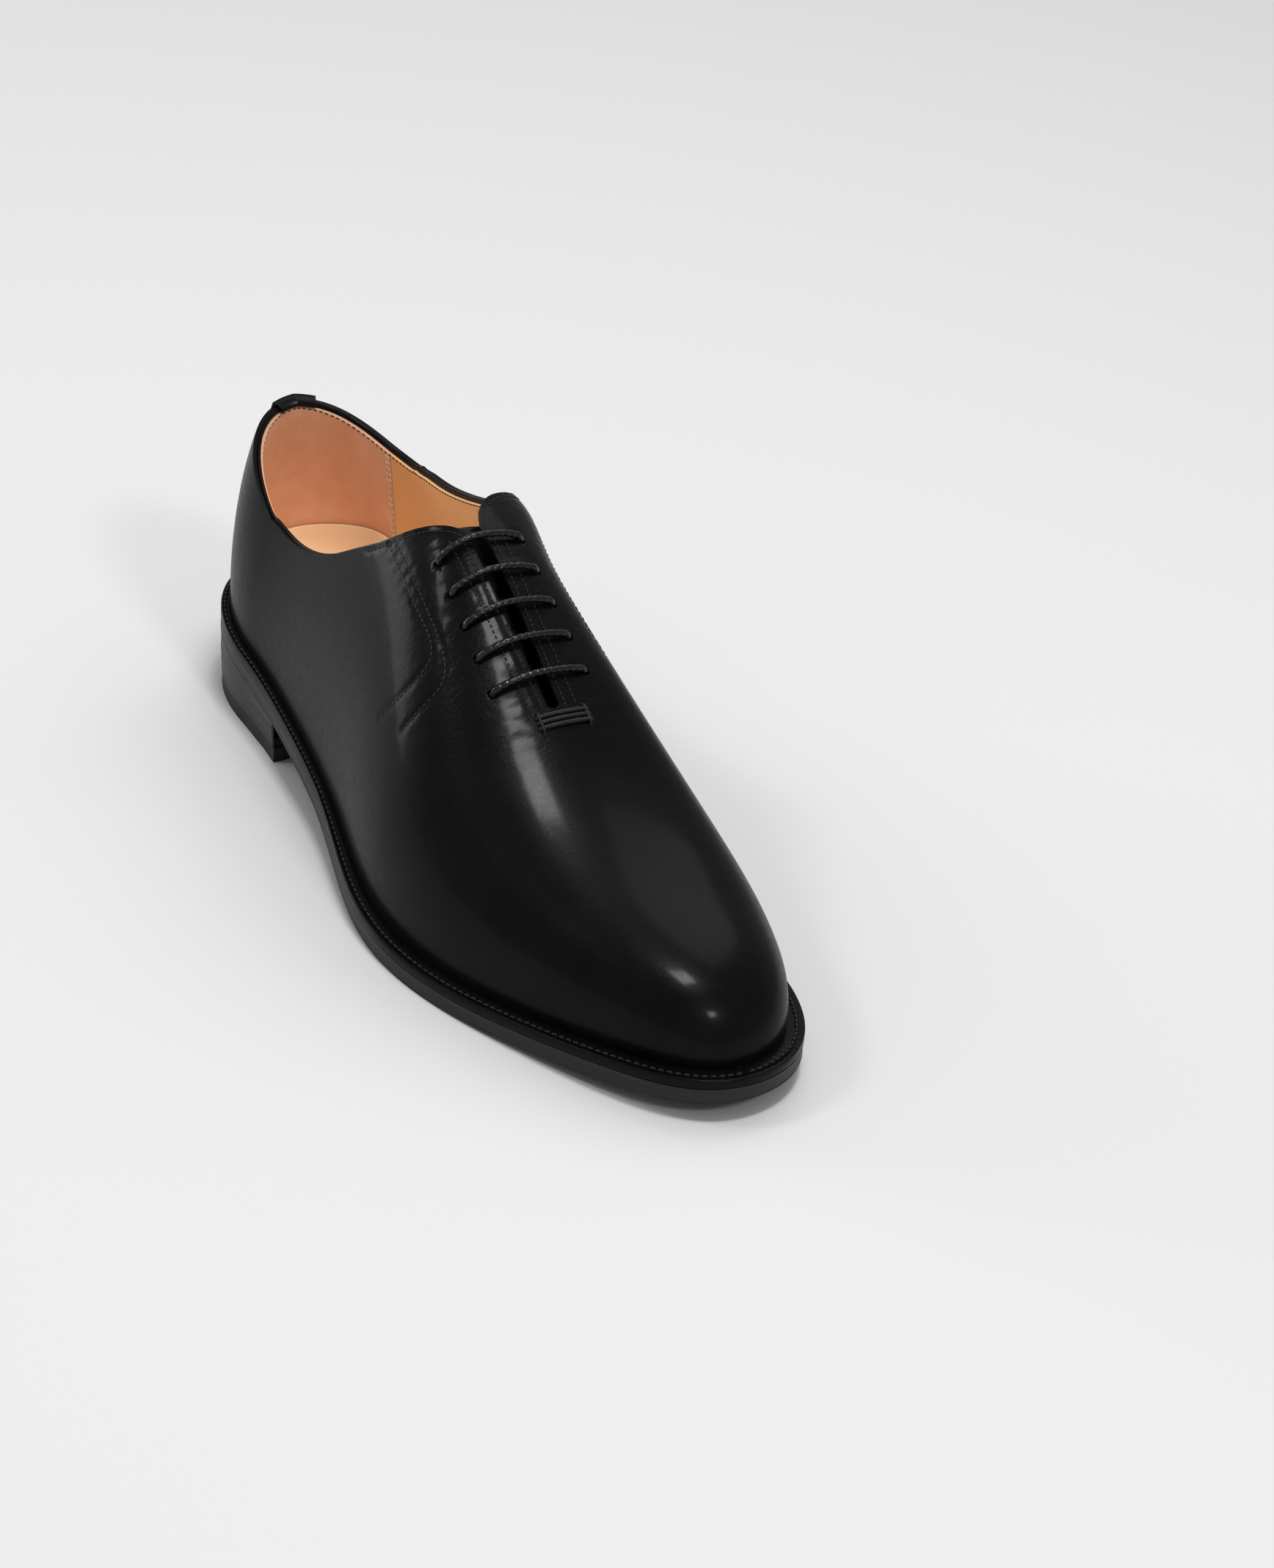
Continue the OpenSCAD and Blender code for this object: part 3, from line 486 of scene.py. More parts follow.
def rib_canvas():
    return surface("rib_canvas", ((0.62, 0.57, 0.46), (0.74, 0.7, 0.6)), (0.8, 0.92), 4,
                   [("noise", 0.6, 0.1, 0.7, (1, 1, 0.3))])


def cork():
    return surface("cork", ((0.33, 0.19, 0.09), (0.56, 0.37, 0.2)), (0.75, 0.9), 2.5,
                   [("cells", 1.6, 0.2, 0.7)])


def steel():
    return surface("steel", ((0.42, 0.42, 0.43), (0.56, 0.56, 0.57)), (0.3, 0.45), 8,
                   [("noise", 1, 0.02, 0.3, (0.2, 3, 1))], metallic=1.0)


def brass():
    return surface("brass", ((0.55, 0.38, 0.14), (0.7, 0.5, 0.2)), (0.28, 0.42), 2,
                   [("noise", 0.4, 0.02, 0.4)], metallic=1.0)


# ---- Mesh helpers ----
def add_mesh(name, points_mm, faces, mat, body="shoe", merge=0.0):
    """A smooth-shaded mesh from points in millimetres that rides on a body of the frame."""
    data = bpy.data.meshes.new(name)
    points = (np.asarray(points_mm) * MM).reshape(-1, 3).tolist()
    data.from_pydata(points, [], [list(map(int, f)) for f in faces])
    if merge:
        mesh = bmesh.new()
        mesh.from_mesh(data)
        bmesh.ops.remove_doubles(mesh, verts=mesh.verts, dist=merge * MM)
        bmesh.ops.dissolve_degenerate(mesh, edges=mesh.edges, dist=1e-6)
        mesh.to_mesh(data)
        mesh.free()
    data.shade_smooth()
    data.materials.append(mat)
    obj = new_object(name, data)
    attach(obj, body)
    return obj


def grid_faces(n, m, wrap=False):
    """Quads of an n by m grid of points, facing out where n runs forwards and m from medial to
    lateral."""
    i, j = np.meshgrid(np.arange(n - 1), np.arange(m if wrap else m - 1), indexing="ij")
    a, b = (i * m + j).ravel(), (i * m + (j + 1) % m).ravel()
    return np.stack([a, b, b + m, a + m], -1)


def closed_faces(n, m, flip=False):
    """Faces of n rings of m points, with both ends closed."""
    faces = grid_faces(n, m, wrap=True).tolist()
    faces += [list(range(m)), [(n - 1) * m + k for k in range(m)][::-1]]
    return [f[::-1] for f in faces] if flip else faces


def thicken(obj, thickness, bevel=0.0, segments=3):
    """Give a sheet its thickness, inwards, and round its cut edges."""
    solid = obj.modifiers.new("thickness", "SOLIDIFY")
    solid.thickness = thickness * MM
    solid.offset = -1
    if bevel:
        round_edges(obj, bevel, segments)


def round_edges(obj, bevel, segments=3, angle=50):
    rounding = obj.modifiers.new("round_edges", "BEVEL")
    rounding.width = bevel * MM
    rounding.segments = segments
    rounding.limit_method = "ANGLE"
    rounding.angle_limit = math.radians(angle)


def along(points):
    """Distance travelled at each point of a path."""
    return np.concatenate([[0], np.cumsum(np.linalg.norm(np.diff(points, axis=0), axis=1))])


def resample(points, step):
    points = np.asarray(points, float)
    s = along(points)
    n = max(2, int(round(s[-1] / step)) + 1)
    places = np.linspace(0, s[-1], n)
    return np.stack([np.interp(places, s, points[:, k]) for k in range(points.shape[1])], -1)


def eased(points, step, reach):
    """A path through given points with its corners rounded over about reach millimetres."""
    path = resample(points, step)
    k = max(1, int(round(reach / step)))
    weights = np.hanning(2 * k + 3)[1:-1]
    weights /= weights.sum()
    ends = [2 * path[0] - path[k:0:-1], path, 2 * path[-1] - path[-2:-k - 2:-1]]
    padded = np.concatenate(ends)
    return np.stack([np.convolve(padded[:, c], weights, "valid") for c in range(3)], -1)


def tube(name, path, radius, mat, sides=20, relief=None, taper=None):
    """Round cord along a path; relief(s, angle) and taper(share of the length) scale its radius."""
    path = np.asarray(path, float)
    n = len(path)
    way = unit(np.gradient(path, axis=0))
    ups = [unit(np.cross(way[0], (0, 0, 1) if abs(way[0][2]) < 0.9 else (1, 0, 0)))]
    for d in way[1:]:
        ups.append(unit(ups[-1] - d * np.dot(ups[-1], d)))
    ups = np.array(ups)
    across = np.cross(way, ups)
    angle = np.arange(sides) * 2 * math.pi / sides
    s = along(path)
    r = np.full((n, sides), float(radius))
    if relief:
        r *= relief(s[:, None], angle[None, :])
    if taper:
        r *= taper(s / s[-1])[:, None]
    circle = (ups[:, None] * np.cos(angle)[None, :, None]
              + across[:, None] * np.sin(angle)[None, :, None])
    points = path[:, None] + circle * r[..., None]
    return add_mesh(name, points, closed_faces(n, sides, flip=True), mat)


def braid(s, angle):
    """Round braid: four strands each way, over and under, with a full turn every 9 mm."""
    turn = 2 * math.pi / 9
    a, b = np.cos(4 * angle + 4 * turn * s), np.cos(4 * angle - 4 * turn * s)
    return 0.90 + 0.11 * np.maximum(a, b)


def stitch_run(name, path, normals, pitch, length, width, mat, body="shoe",
               lift=0.0, tall=0.7):
    """A run of single stitches: small rounded grains of thread along a path on a surface."""
    s = along(path)
    places = np.arange(0.5 * pitch, s[-1] - 0.3 * pitch, pitch)

    def pick(v):
        return np.stack([np.interp(places, s, v[:, k]) for k in range(3)], -1)

    centre, up = pick(path), unit(pick(normals))
    way = unit(pick(np.gradient(path, axis=0)))
    side = unit(np.cross(up, way))
    along_n, round_n = 7, 8
    t = np.linspace(-1, 1, along_n)
    girth = np.sqrt(np.clip(1 - np.abs(t) ** 2.6, 0.02, 1))
    angle = np.arange(round_n) * 2 * math.pi / round_n
    local = np.array([(t[i] * length / 2, math.cos(x) * girth[i] * width / 2,
                       math.sin(x) * girth[i] * width / 2 * tall - 0.12 * width * t[i] ** 2)
                      for i in range(along_n) for x in angle])
    points = (centre[:, None] + up[:, None] * lift + way[:, None] * local[None, :, 0:1]
              + side[:, None] * local[None, :, 1:2] + up[:, None] * local[None, :, 2:3])
    one = closed_faces(along_n, round_n, flip=True)
    count = along_n * round_n
    faces = [[v + k * count for v in f] for k in range(len(places)) for f in one]
    return add_mesh(name, points, faces, mat, body)


# ---- Places on the upper ----
def clear_t(a, up):
    """Share of the way up the side at about up millimetres above the feather edge."""
    return up / (3 * even(SIDE_RISE, a) * even(RIDGE_H, a)
                 * np.cos(np.radians(np.maximum(0, a))))


def eyelet_place(k, side):
    a = EYELET_A[k]
    return a, side * (1 - EYELET_V[side] * facing_t(a, side))


def rim_line(side, start=0.0, step=0.05):
    """The free edge of one side of the upper, from a rim step to the bottom of the throat, as
    (a, w)."""
    r = rim_table(side, np.arange(start, RIM_STEPS, step))
    a = np.arange(RIM_END_A, THROAT_A, 0.2)
    lower = np.stack([a, facing_t(a, side)], -1)
    line = np.concatenate([r, lower])
    return np.stack([line[:, 0], side * (1 - line[:, 1])], -1)


def shifted(line, distance):
    """A line of (a, w) places moved by millimetres across the surface, towards the feather edge."""
    line = np.asarray(line, float)
    a, w = line[:, 0], line[:, 1]
    ja = (skin(a + 0.25, w) - skin(a - 0.25, w)) / 0.5
    jw = (skin(a, w + 0.005) - skin(a, w - 0.005)) / 0.01
    path = skin(a, w)
    way = unit(np.gradient(path, axis=0))
    up = unit(np.cross(jw, ja))
    across = np.cross(way, up) * np.sign(w.mean() if abs(w.mean()) > 1e-6 else 1)
    gaa, gaw, gww = (ja * ja).sum(-1), (ja * jw).sum(-1), (jw * jw).sum(-1)
    ba, bw = (ja * across).sum(-1), (jw * across).sum(-1)
    det = gaa * gww - gaw * gaw
    da, dw = (gww * ba - gaw * bw) / det, (gaa * bw - gaw * ba) / det
    return line + np.stack([da, dw], -1) * distance


SWAN_OUTER = [(16.6, 0.646), (18.7, 0.638), (21.3, 0.638), (24.1, 0.646), (26, 0.66), (27.3, 0.64),
              (27.4, 0.589), (26.9, 0.482), (25.3, 0.366)]
SWAN_INNER = [(17.7, 0.672), (19.5, 0.668), (22.2, 0.676), (24.8, 0.682), (26.8, 0.69),
              (28.5, 0.682), (29.4, 0.655), (29.7, 0.594), (28.8, 0.441)]


def seam_lines():
    """Every line of stitching on the outside of the upper: name, (a, w) line, pitch, groove depth.
    The swan rows are given as (a, share of the way up)."""
    lines = []
    for side, tag in SIDES:
        edge, inner = shifted(rim_line(side, 8.5), 1.9), shifted(rim_line(side, 13.2), 5.6)
        lines.append(("facing_edge_" + tag, resample(edge, 0.25), 1.9, 0.16))
        lines.append(("facing_inner_" + tag, resample(inner, 0.25), 1.9, 0.12))
        for name, row in (("swan_outer_", SWAN_OUTER), ("swan_inner_", SWAN_INNER)):
            curve = ended(np.array(row), np.linspace(0, len(row) - 1, 160))
            line = np.stack([curve[:, 0], side * (1 - curve[:, 1])], -1)
            lines.append((name + tag, line, 2.0, 0.22))
    return lines


def leather_relief(points, lines):
    """How far the leather rises above the plain surface, in millimetres, at each point: a groove
    along each line of stitches with small puckers beside it."""
    reach, spacing, puckers = 6, 0.5, 0.13
    rise = np.zeros(len(points))
    for _, line, pitch, depth in lines:
        path = resample(skin(line[:, 0], line[:, 1]), spacing)
        tree = kdtree.KDTree(len(path))
        for k, p in enumerate(path):
            tree.insert(p, k)
        tree.balance()
        low, high = path.min(0) - reach, path.max(0) + reach
        near = np.where(((points > low) & (points < high)).all(-1))[0]
        for k in near:
            _, index, d = tree.find(points[k])
            if d < reach:
                rise[k] -= depth * math.exp(-((d / 0.9) ** 2))
                ripple = (math.cos(index * spacing * 2 * math.pi / (2.3 * pitch))
                          + 0.6 * math.cos(index * spacing * 1.37))
                rise[k] += depth * puckers * ripple * math.exp(-(((d - 1.5) / 1.1) ** 2))
    return rise


def facing_creases(points, a, w):
    """Soft cross creases where the lacing draws the facings together."""
    t = 1 - np.abs(w)
    zone = (np.clip((t - 0.6) / 0.2, 0, 1) * np.clip((a - 15) / 4, 0, 1)
            * np.clip((40 - a) / 5, 0, 1))
    zone = zone * zone * (3 - 2 * zone)
    rise = np.zeros(len(points))
    for k in np.where(zone > 0)[0]:
        x, y, z = points[k]
        rise[k] = zone[k] * (0.11 * noise.noise((x * 0.05, y * 0.28, z * 0.22))
                             + 0.06 * noise.noise((x * 0.16, y * 0.7, z * 0.5 + 7)))
    return rise


def punch(points, faces, centres, radius):
    """Cut round holes in a sheet: drop the faces at each centre and pull the edge to a circle."""
    points = points.copy()
    faces = np.asarray(faces)
    middles = points[faces].mean(1)
    keep = np.ones(len(faces), bool)
    for centre in centres:
        hit = np.linalg.norm(middles - centre, axis=1) < radius
        ring = set(faces[hit].ravel()) & set(faces[keep & ~hit].ravel())
        keep &= ~hit
        for v in ring:
            out = points[v] - centre
            points[v] = centre + out / max(np.linalg.norm(out), 1e-9) * radius
    return points, faces[keep]


def eyelet_centres(depth):
    return [under(*eyelet_place(k, side), depth) for k in range(len(EYELET_A)) for side in (1, -1)]


# ---- Pieces of the upper ----
def wholecut_upper(mat, lines):
    """The one piece of calf: two sides up to the rim and throat, joined over the toe, with
    grooved seams, creases and punched eyelets."""
    toe_a = np.concatenate([np.arange(THROAT_A, 60, 0.28), np.arange(60, 89.6, 0.5)])
    rows = np.concatenate([[-0.014], np.linspace(0, 1, 74)])
    parts, faces, flat_a, flat_w = [], [], [], []
    offset = 0
    for side in (-1, 1):
        u = np.concatenate([np.arange(0, 9, 0.07), np.arange(9, RIM_STEPS, 0.05)])
        r = rim_table(side, u)
        facing = np.arange(RIM_END_A, THROAT_A - 0.1, 0.25)
        a = np.concatenate([r[:, 0], facing, toe_a])
        top = np.concatenate([r[:, 1], facing_t(facing, side), np.ones(len(toe_a))])
        t = rows[None, :] * top[:, None]
        w = t - 1 if side < 0 else (1 - t)[:, ::-1]
        grid_a, w = np.broadcast_arrays(a[:, None], w)
        parts.append(under(grid_a, w, 0.0).reshape(-1, 3))
        flat_a.append(grid_a.ravel())
        flat_w.append(w.ravel())
        faces.append(grid_faces(len(a), len(rows)) + offset)
        offset += len(a) * len(rows)
    points, a, w = np.concatenate(parts), np.concatenate(flat_a), np.concatenate(flat_w)
    rise = leather_relief(points, lines) + facing_creases(points, a, w)
    points = points + normal(a, w) * rise[:, None]
    last = [len(parts[0]) - len(rows) + k for k in range(len(rows))]
    other = [len(points) - len(rows) + k for k in range(len(rows))]
    points, cut = punch(points, np.concatenate(faces), eyelet_centres(0.0), EYELET_R)
    nose = last + other[1:]
    obj = add_mesh("upper_leather", points, [*cut.tolist(), nose[::-1]], mat,
                   merge=0.02)
    thicken(obj, UPPER_T, 0.42)
    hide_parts("wholecut_upper")


def sheet_grid(name, a, w, depth, thickness, mat, node, body="shoe", bevel=0.25,
               holes=False, cap=False):
    """A lining or tongue: a grid of places at a depth, thickened inwards."""
    points = under(a, w, depth).reshape(-1, 3)
    faces = grid_faces(*a.shape)
    if holes:
        points, faces = punch(points, faces, eyelet_centres(depth), EYELET_R)
    faces = faces.tolist()
    if cap:
        n, m = a.shape
        faces.append([(n - 1) * m + k for k in range(m)])
    obj = add_mesh(name, points, faces, mat, body)
    thicken(obj, thickness, bevel, 2)
    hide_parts(node)


def seam_lean(v):
    """How far the front seam of the heel grip leans forwards towards the feather edge."""
    return 0.35 * (1 - v) ** 2


def quarter_lining(side, tag, mat):
    r = rim_table(side, np.linspace(SEAM_U, RIM_STEPS, 130))
    facing = np.arange(21.5, THROAT_A, 0.4)
    base = np.concatenate([r[:, 0], facing])
    top = np.concatenate([r[:, 1], facing_t(facing, side)])
    v = np.linspace(0, LINING_TOP, 60)
    slide = np.maximum(0, 1 - (base - base[0]) / 60) * (base[0] + 90)
    a = base[:, None] + slide[:, None] * seam_lean(v)[None, :]
    a[0] += 0.4
    t = np.maximum(clear_t(base, LINING_FOOT)[:, None], v[None, :] * top[:, None])
    w = side * (1 - t)
    if side > 0:
        a, w = a[:, ::-1], w[:, ::-1]
    sheet_grid("lining_" + tag, a, w, LINING_D, LINING_T, mat,
               "quarter_lining_" + tag, holes=True)


def heel_grip(mat):
    u = np.linspace(-SEAM_U, SEAM_U, 101)
    r_a, r_w = rim(u)
    v = np.linspace(LINING_TOP, 0, 50)
    low = float(clear_t(0.0, LINING_FOOT))
    t = np.maximum(low, v[None, :] * (1 - r_w)[:, None])
    a = -90 + (r_a + 90)[:, None] * (1 + seam_lean(v))[None, :]
    sheet_grid("heel_grip", a, 1 - t, LINING_D, LINING_T, mat,
               "heel_grip_lining")


def grip_seam_line(side, ahead):
    """(a, w) line a few degrees ahead of, or behind, the front seam of the heel grip."""
    r = rim_table(side, np.array(SEAM_U))
    v = np.linspace(0.975, 0.05, 60)
    a = -90 + (r[0] + 90) * (1 + seam_lean(v)) + ahead
    t = np.maximum(float(clear_t(0.0, LINING_FOOT)), v * r[1])
    return np.stack([a, side * (1 - t)], -1)


def vamp_lining(mat):
    steps = np.concatenate([np.arange(35.6, 75, 0.8), np.arange(75, 86.1, 0.8)])
    k = np.linspace(-1, 1, 81)
    t = 1 - (1 - clear_t(steps, LINING_FOOT))[:, None] * np.abs(k)[None, :]
    w = np.sign(k)[None, :] * (1 - t)
    a, w = np.broadcast_arrays(steps[:, None], w)
    sheet_grid("lining_vamp", a, w, LINING_D, LINING_T, mat, "vamp_lining",
               cap=True)


def tongue_places():
    """Grid of places on the tongue: corners rounded at the tip, slightly narrower at the root."""
    a = np.linspace(TONGUE_TIP_A, TONGUE_ROOT_A, 70)
    corner = np.sin(np.clip((a - TONGUE_TIP_A) / 1.2, 0, 1) * math.pi / 2)
    wide = np.where(a < 20.6, 0.2 + 0.062 * corner, TONGUE_HALF_W)
    wide = np.minimum(wide, TONGUE_HALF_W - np.maximum(0, a - 31) * 0.008)
    w = wide[:, None] * np.linspace(-1, 1, 41)[None, :]
    return np.broadcast_arrays(a[:, None], w)


def tongue_depth(a):
    """Right under the linings at the root, and under the lace runs from there to the tip."""
    drop = (TONGUE_D - INSIDE_D - TONGUE_CLEAR) * np.clip((TONGUE_ROOT_A - a) / 6, 0, 1)
    return INSIDE_D + TONGUE_CLEAR + drop


def tongue(leather, thread):
    a, w = tongue_places()
    sheet_grid("tongue_leather_sheet", a, w, tongue_depth(a), TONGUE_T, leather,
               "tongue_leather", body="tongue", bevel=0.35)
    w = np.linspace(-0.185, 0.185, 60)
    a = 20.1 + 6 * w**2
    stitch_run("tongue_top_stitches", under(a, w, tongue_depth(a)), normal(a, w), 2.0, 1.5, 0.55,
               thread, body="tongue", lift=0.08)


def topline_binding(mat):
    """The turned edge between upper and lining, a slim roll from lobe to lobe round the heel."""
    u = np.arange(-9.6, 9.61, 0.06)
    r_a, r_w = rim(u)
    mid = STIFF_D + STIFF_T / 2
    section = []
    for angle in np.linspace(0, math.pi, 9):
        section.append((-0.3 - 0.45 * math.sin(angle), mid - 0.5 * math.cos(angle)))
    section += [(2.0, mid + 0.5), (4.4, mid + 0.5), (4.4, mid - 0.5), (2.0, mid - 0.5)]
    per_w = np.linalg.norm(skin(r_a, r_w + 0.01) - skin(r_a, r_w), axis=-1) / 0.01
    rows = [under(r_a, r_w + fall / per_w, depth) for fall, depth in section]
    points = np.stack(rows, 1)
    obj = add_mesh("topline_roll", points, closed_faces(*points.shape[:2]), mat)
    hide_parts("topline_binding")


TAB_U, TAB_OUT_D, TAB_LOW = 0.62, -0.7, 0.045


def heel_tab(mat, thread):
    """Folded strip over the top of the back seam; fold gives (fall below the rim, depth)."""
    inner = INSIDE_D + 0.35
    fold = [(TAB_LOW, TAB_OUT_D), (-0.011, TAB_OUT_D), (-0.0135, -0.3), (-0.0135, INSIDE_D - 0.2),
            (-0.011, inner), (-0.002, inner), (-0.002, INSIDE_D + GAP), (-0.008, INSIDE_D + GAP),
            (-0.008, -GAP), (TAB_LOW, -GAP)]
    u = np.linspace(-TAB_U, TAB_U, 41)
    r_a, r_w = rim(u)
    bow = 0.006 * (1 - (u / TAB_U) ** 2)
    rows = []
    for fall, depth in fold:
        w = r_w + fall + (bow if fall == TAB_LOW else 0)
        rows.append(under(r_a, w, depth))
    points = np.stack(rows, 1)
    obj = add_mesh("heel_tab_fold", points, closed_faces(*points.shape[:2]), mat)
    round_edges(obj, 0.3, 3, 35)
    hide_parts("heel_tab")
    u = np.linspace(-0.56, 0.56, 60)
    r_a, r_w = rim(u)
    down = r_w + 0.034 + 0.005 * (1 - (u / TAB_U) ** 2)
    stitch_run("heel_tab_stitches", under(r_a, down, TAB_OUT_D), normal(r_a, down), 1.8, 1.35,
               0.5, thread, lift=0.05)


def wraps(s, angle):
    """Thread wound round a core."""
    return 0.9 + 0.12 * np.abs(np.cos(s * math.pi / 1.15 + angle / 2))


def bar_tack(thread):
    """Three heavy wrapped rows across the foot of the throat, tied down at both ends."""
    rows_a = (35.6, 36.02, 36.44)
    for k, a in enumerate(rows_a):
        w = np.linspace(-0.088, 0.088, 70)
        depth = -0.7 + 1.6 * np.clip((np.abs(w) - 0.079) / 0.009, 0, 1)
        obj = tube(f"bar_tack_{k + 1}", under(a, w, depth), 0.72, thread,
                   sides=14, relief=wraps)
        if k == 0:
            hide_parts("throat_bar_tack")
    for side, tag in SIDES:
        a = np.linspace(35.2, 36.85, 30)
        depth = -0.55 + 1.2 * np.clip((np.abs(a - rows_a[1]) - 0.62) / 0.2, 0, 1)
        tube("bar_tack_end_" + tag, under(a, side * 0.074, depth - 0.55), 0.5,
             thread, sides=12, relief=wraps)


def outer_stitches(lines, thread):
    """The stitches of every seam on the outside of the upper, sunk in their grooves."""
    for name, line, pitch, groove in lines:
        a, w = line[:, 0], line[:, 1]
        stitch_run(name + "_stitches", skin(a, w), normal(a, w), pitch, pitch * 0.74, 0.55, thread,
                   lift=0.12 - groove)


def inner_stitches(name, line, pitch, length, width, thread, lift):
    """A row of stitches on the inner face of the linings."""
    a, w = line[:, 0], line[:, 1]
    stitch_run(name, under(a, w, INSIDE_D), -normal(a, w), pitch, length, width,
               thread, lift=lift)


def grip_seam(side, tag, thread):
    for number, ahead in enumerate((-1.6, -3.4)):
        inner_stitches(f"grip_seam_{tag}_{number + 1}", grip_seam_line(side, ahead), 2.2, 1.7, 0.75,
                       thread, 0.18)


def lining_edge(side, tag, thread):
    step, last_u = 0.05, 13.4
    line = shifted(rim_line(side, 0.0, step)[: int(last_u / step)], 1.15)
    inner_stitches("lining_edge_" + tag, line, 2.0, 1.45, 0.5, thread, 0.06)


# ---- Lace ----
def bar(k, side):
    """One straight bar of the lace, up through an eyelet on side and down through its partner."""
    (pa, pw), (qa, qw) = eyelet_place(k, side), eyelet_place(k, -side)
    arch = [(pa, pw + (qw - pw) * f, LACE_OVER_D - 0.9 * (1 - (2 * f - 1) ** 2))
            for f in (0.2, 0.35, 0.5, 0.65, 0.8)]
    near, far = pw - side * 0.022, qw + side * 0.022
    return [(pa, pw, LACE_RUN_D), (pa, pw, 2.6), (pa, pw, 0.2), (pa, near, LACE_OVER_D), *arch,
            (qa, far, LACE_OVER_D), (qa, qw, 0.2), (qa, qw, 2.6), (qa, qw, LACE_RUN_D)]


def lace_route():
    """The laced part as (a, w, depth), from the lateral end over all five bars to the medial."""
    first = [p for p in bar(3, 1) if p[2] < 4 or p[1] < 0]
    final = [p for p in bar(4, 1) if p[2] < 4 or p[1] > 0]
    return [(30.3, 0.26, 5.2), (30, 0.222, 4.7), (29.9, 0.207, 3.8), *first,
            (27.3, -0.19, LACE_RUN_D), *bar(1, -1), *bar(0, 1), (24.7, -0.11, LACE_RUN_D),
            *bar(2, -1), (29.9, 0.16, LACE_RUN_D), *final, (32.6, -0.14, 3.8),
            (32.65, -0.157, 4.7), (32.8, -0.19, 5.2)]


# The free ends of the lace, as points in millimetres.
TAIL_LATERAL = [(14.7, 21, 76.4), (19.6, 23.9, 71.3), (25, 28, 63.5), (29.5, 31.5, 55),
                (32.5, 35, 46), (34.5, 38.5, 37), (36, 42.5, 28), (37, 48, 20.5), (37, 54, 16.4),
                (36.5, 61, 15.2), (35, 69, 15.4), (32.5, 77, 15.7), (29.5, 84.5, 16.1),
                (26, 91.5, 16.7)]
TAIL_MEDIAL = [(-20.7, 29.9, 73.1), (-24.4, 31.2, 71), (-27.8, 33.2, 66.6), (-31, 36, 58),
               (-32.8, 39, 49), (-33.8, 42.5, 40), (-34.5, 46.5, 31), (-34.8, 51.5, 23),
               (-35.2, 57.5, 17.5), (-35.5, 64.5, 16.1), (-36, 72.5, 16.1), (-36.5, 80.5, 16.4),
               (-36.5, 88.5, 16.7), (-36, 95.5, 17.4)]
AGLET_LEN = 20


def lace(mat):
    route = np.array(lace_route())
    path = eased(under(route[:, 0], route[:, 1], route[:, 2]), 0.3, 1.1)
    obj = tube("lace_braid", path, LACE_D / 2 * 0.92, mat, relief=braid)
    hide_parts("lace")


def round_tip(s):
    """Share of the radius along an aglet, which is rounded at its free end."""
    return np.where(s > 0.93, np.sqrt(np.clip(1 - ((s - 0.93) / 0.075) ** 2, 0.05, 1)), 1.0)


def tail(tag, route, mat, tip_mat):
    """One free end of the lace, hanging in the shoe and lying on the sock liner to its aglet."""
    route = np.array(route, float)
    fine = ended(route, np.linspace(0, len(route) - 1, 40 * len(route)))
    path = resample(fine, 0.3)
    obj = tube("lace_end_" + tag, path, LACE_D / 2, mat, relief=braid)
    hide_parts("lace_tail_" + tag)
    way = unit(route[-1] - route[-2])
    tip_path = route[-1] + way * np.linspace(0.05, AGLET_LEN, 40)[:, None]
    tip = tube("aglet_tip_" + tag, tip_path, (LACE_D + 0.1) / 2, tip_mat, sides=24,
               taper=round_tip)
    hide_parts("aglet_" + tag)


# ---- The bottom: welt, sole and heel from the plan outline ----
def edge_point(a, side):
    p = foot(a, side)
    return np.stack([p[0] - CENTRE_X, p[1] - CENTRE_Y], -1)


def edge_normal(a, side):
    """Outward direction of the feather edge in plan, straight along y at the heel and toe ends."""
    d = edge_point(np.minimum(a + 0.5, 90), side) - edge_point(np.maximum(a - 0.5, -90), side)
    n = unit(np.stack([side * d[:, 1], -side * d[:, 0]], -1))
    tip = np.abs(a) > 89.6
    n[tip] = np.stack([0 * a[tip], np.sign(a[tip])], -1)
    return n


def welt_grow(y):
    """Width of the welt past the feather edge: it widens over the waist and again at the toe."""
    s = y + CENTRE_Y
    waist, toe = np.clip((s - 120) / 70, 0, 1), np.clip((s - 250) / 50, 0, 1)
    return WELT_BACK + (WELT_OUT - WELT_BACK) * waist + toe


def outline_stations(side, step):
    """Station angles spaced evenly along the outline of the welt, from the back to the toe."""
    a = np.concatenate([np.arange(-90, 60, 0.25), np.arange(60, 90.01, 0.1)])
    p = edge_point(a, side)
    p = p + edge_normal(a, side) * welt_grow(p[:, 1])[:, None] * 0.55
    s = along(p)
    return np.interp(np.linspace(0, s[-1], int(round(s[-1] / step)) + 1), s, a), s[-1]


def outline_points(a, side, out, grow):
    """Plan points pushed out of the feather edge: out in mm plus a share of the welt's width."""
    p = edge_point(a, side)
    return p + edge_normal(a, side) * (out + grow * welt_grow(p[:, 1]))[:, None]


def at_height(plan, height):
    return np.concatenate([plan, (tread(plan[:, 1] + CENTRE_Y) + height)[:, None]], -1)


def ring(name, section, step, mat, slot, node):
    """A strip round the whole outline: section(s) gives (out, share of the welt width, height)."""
    parts, faces, offset = [], [], 0
    for side in (1, -1):
        a, total = outline_stations(side, step)
        s = np.linspace(0, total, len(a))
        rows = [at_height(outline_points(a, side, out, share), height)
                for out, share, height in section(s)]
        points = np.stack(rows, 1)
        n, m = points.shape[:2]
        f = grid_faces(n, m, wrap=True)
        faces.append((f if side > 0 else f[:, ::-1]) + offset)
        parts.append(points.reshape(-1, 3))
        offset += n * m
    obj = add_mesh(name, np.concatenate(parts), np.concatenate(faces).tolist(), mat,
                   merge=0.03)
    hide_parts(node)


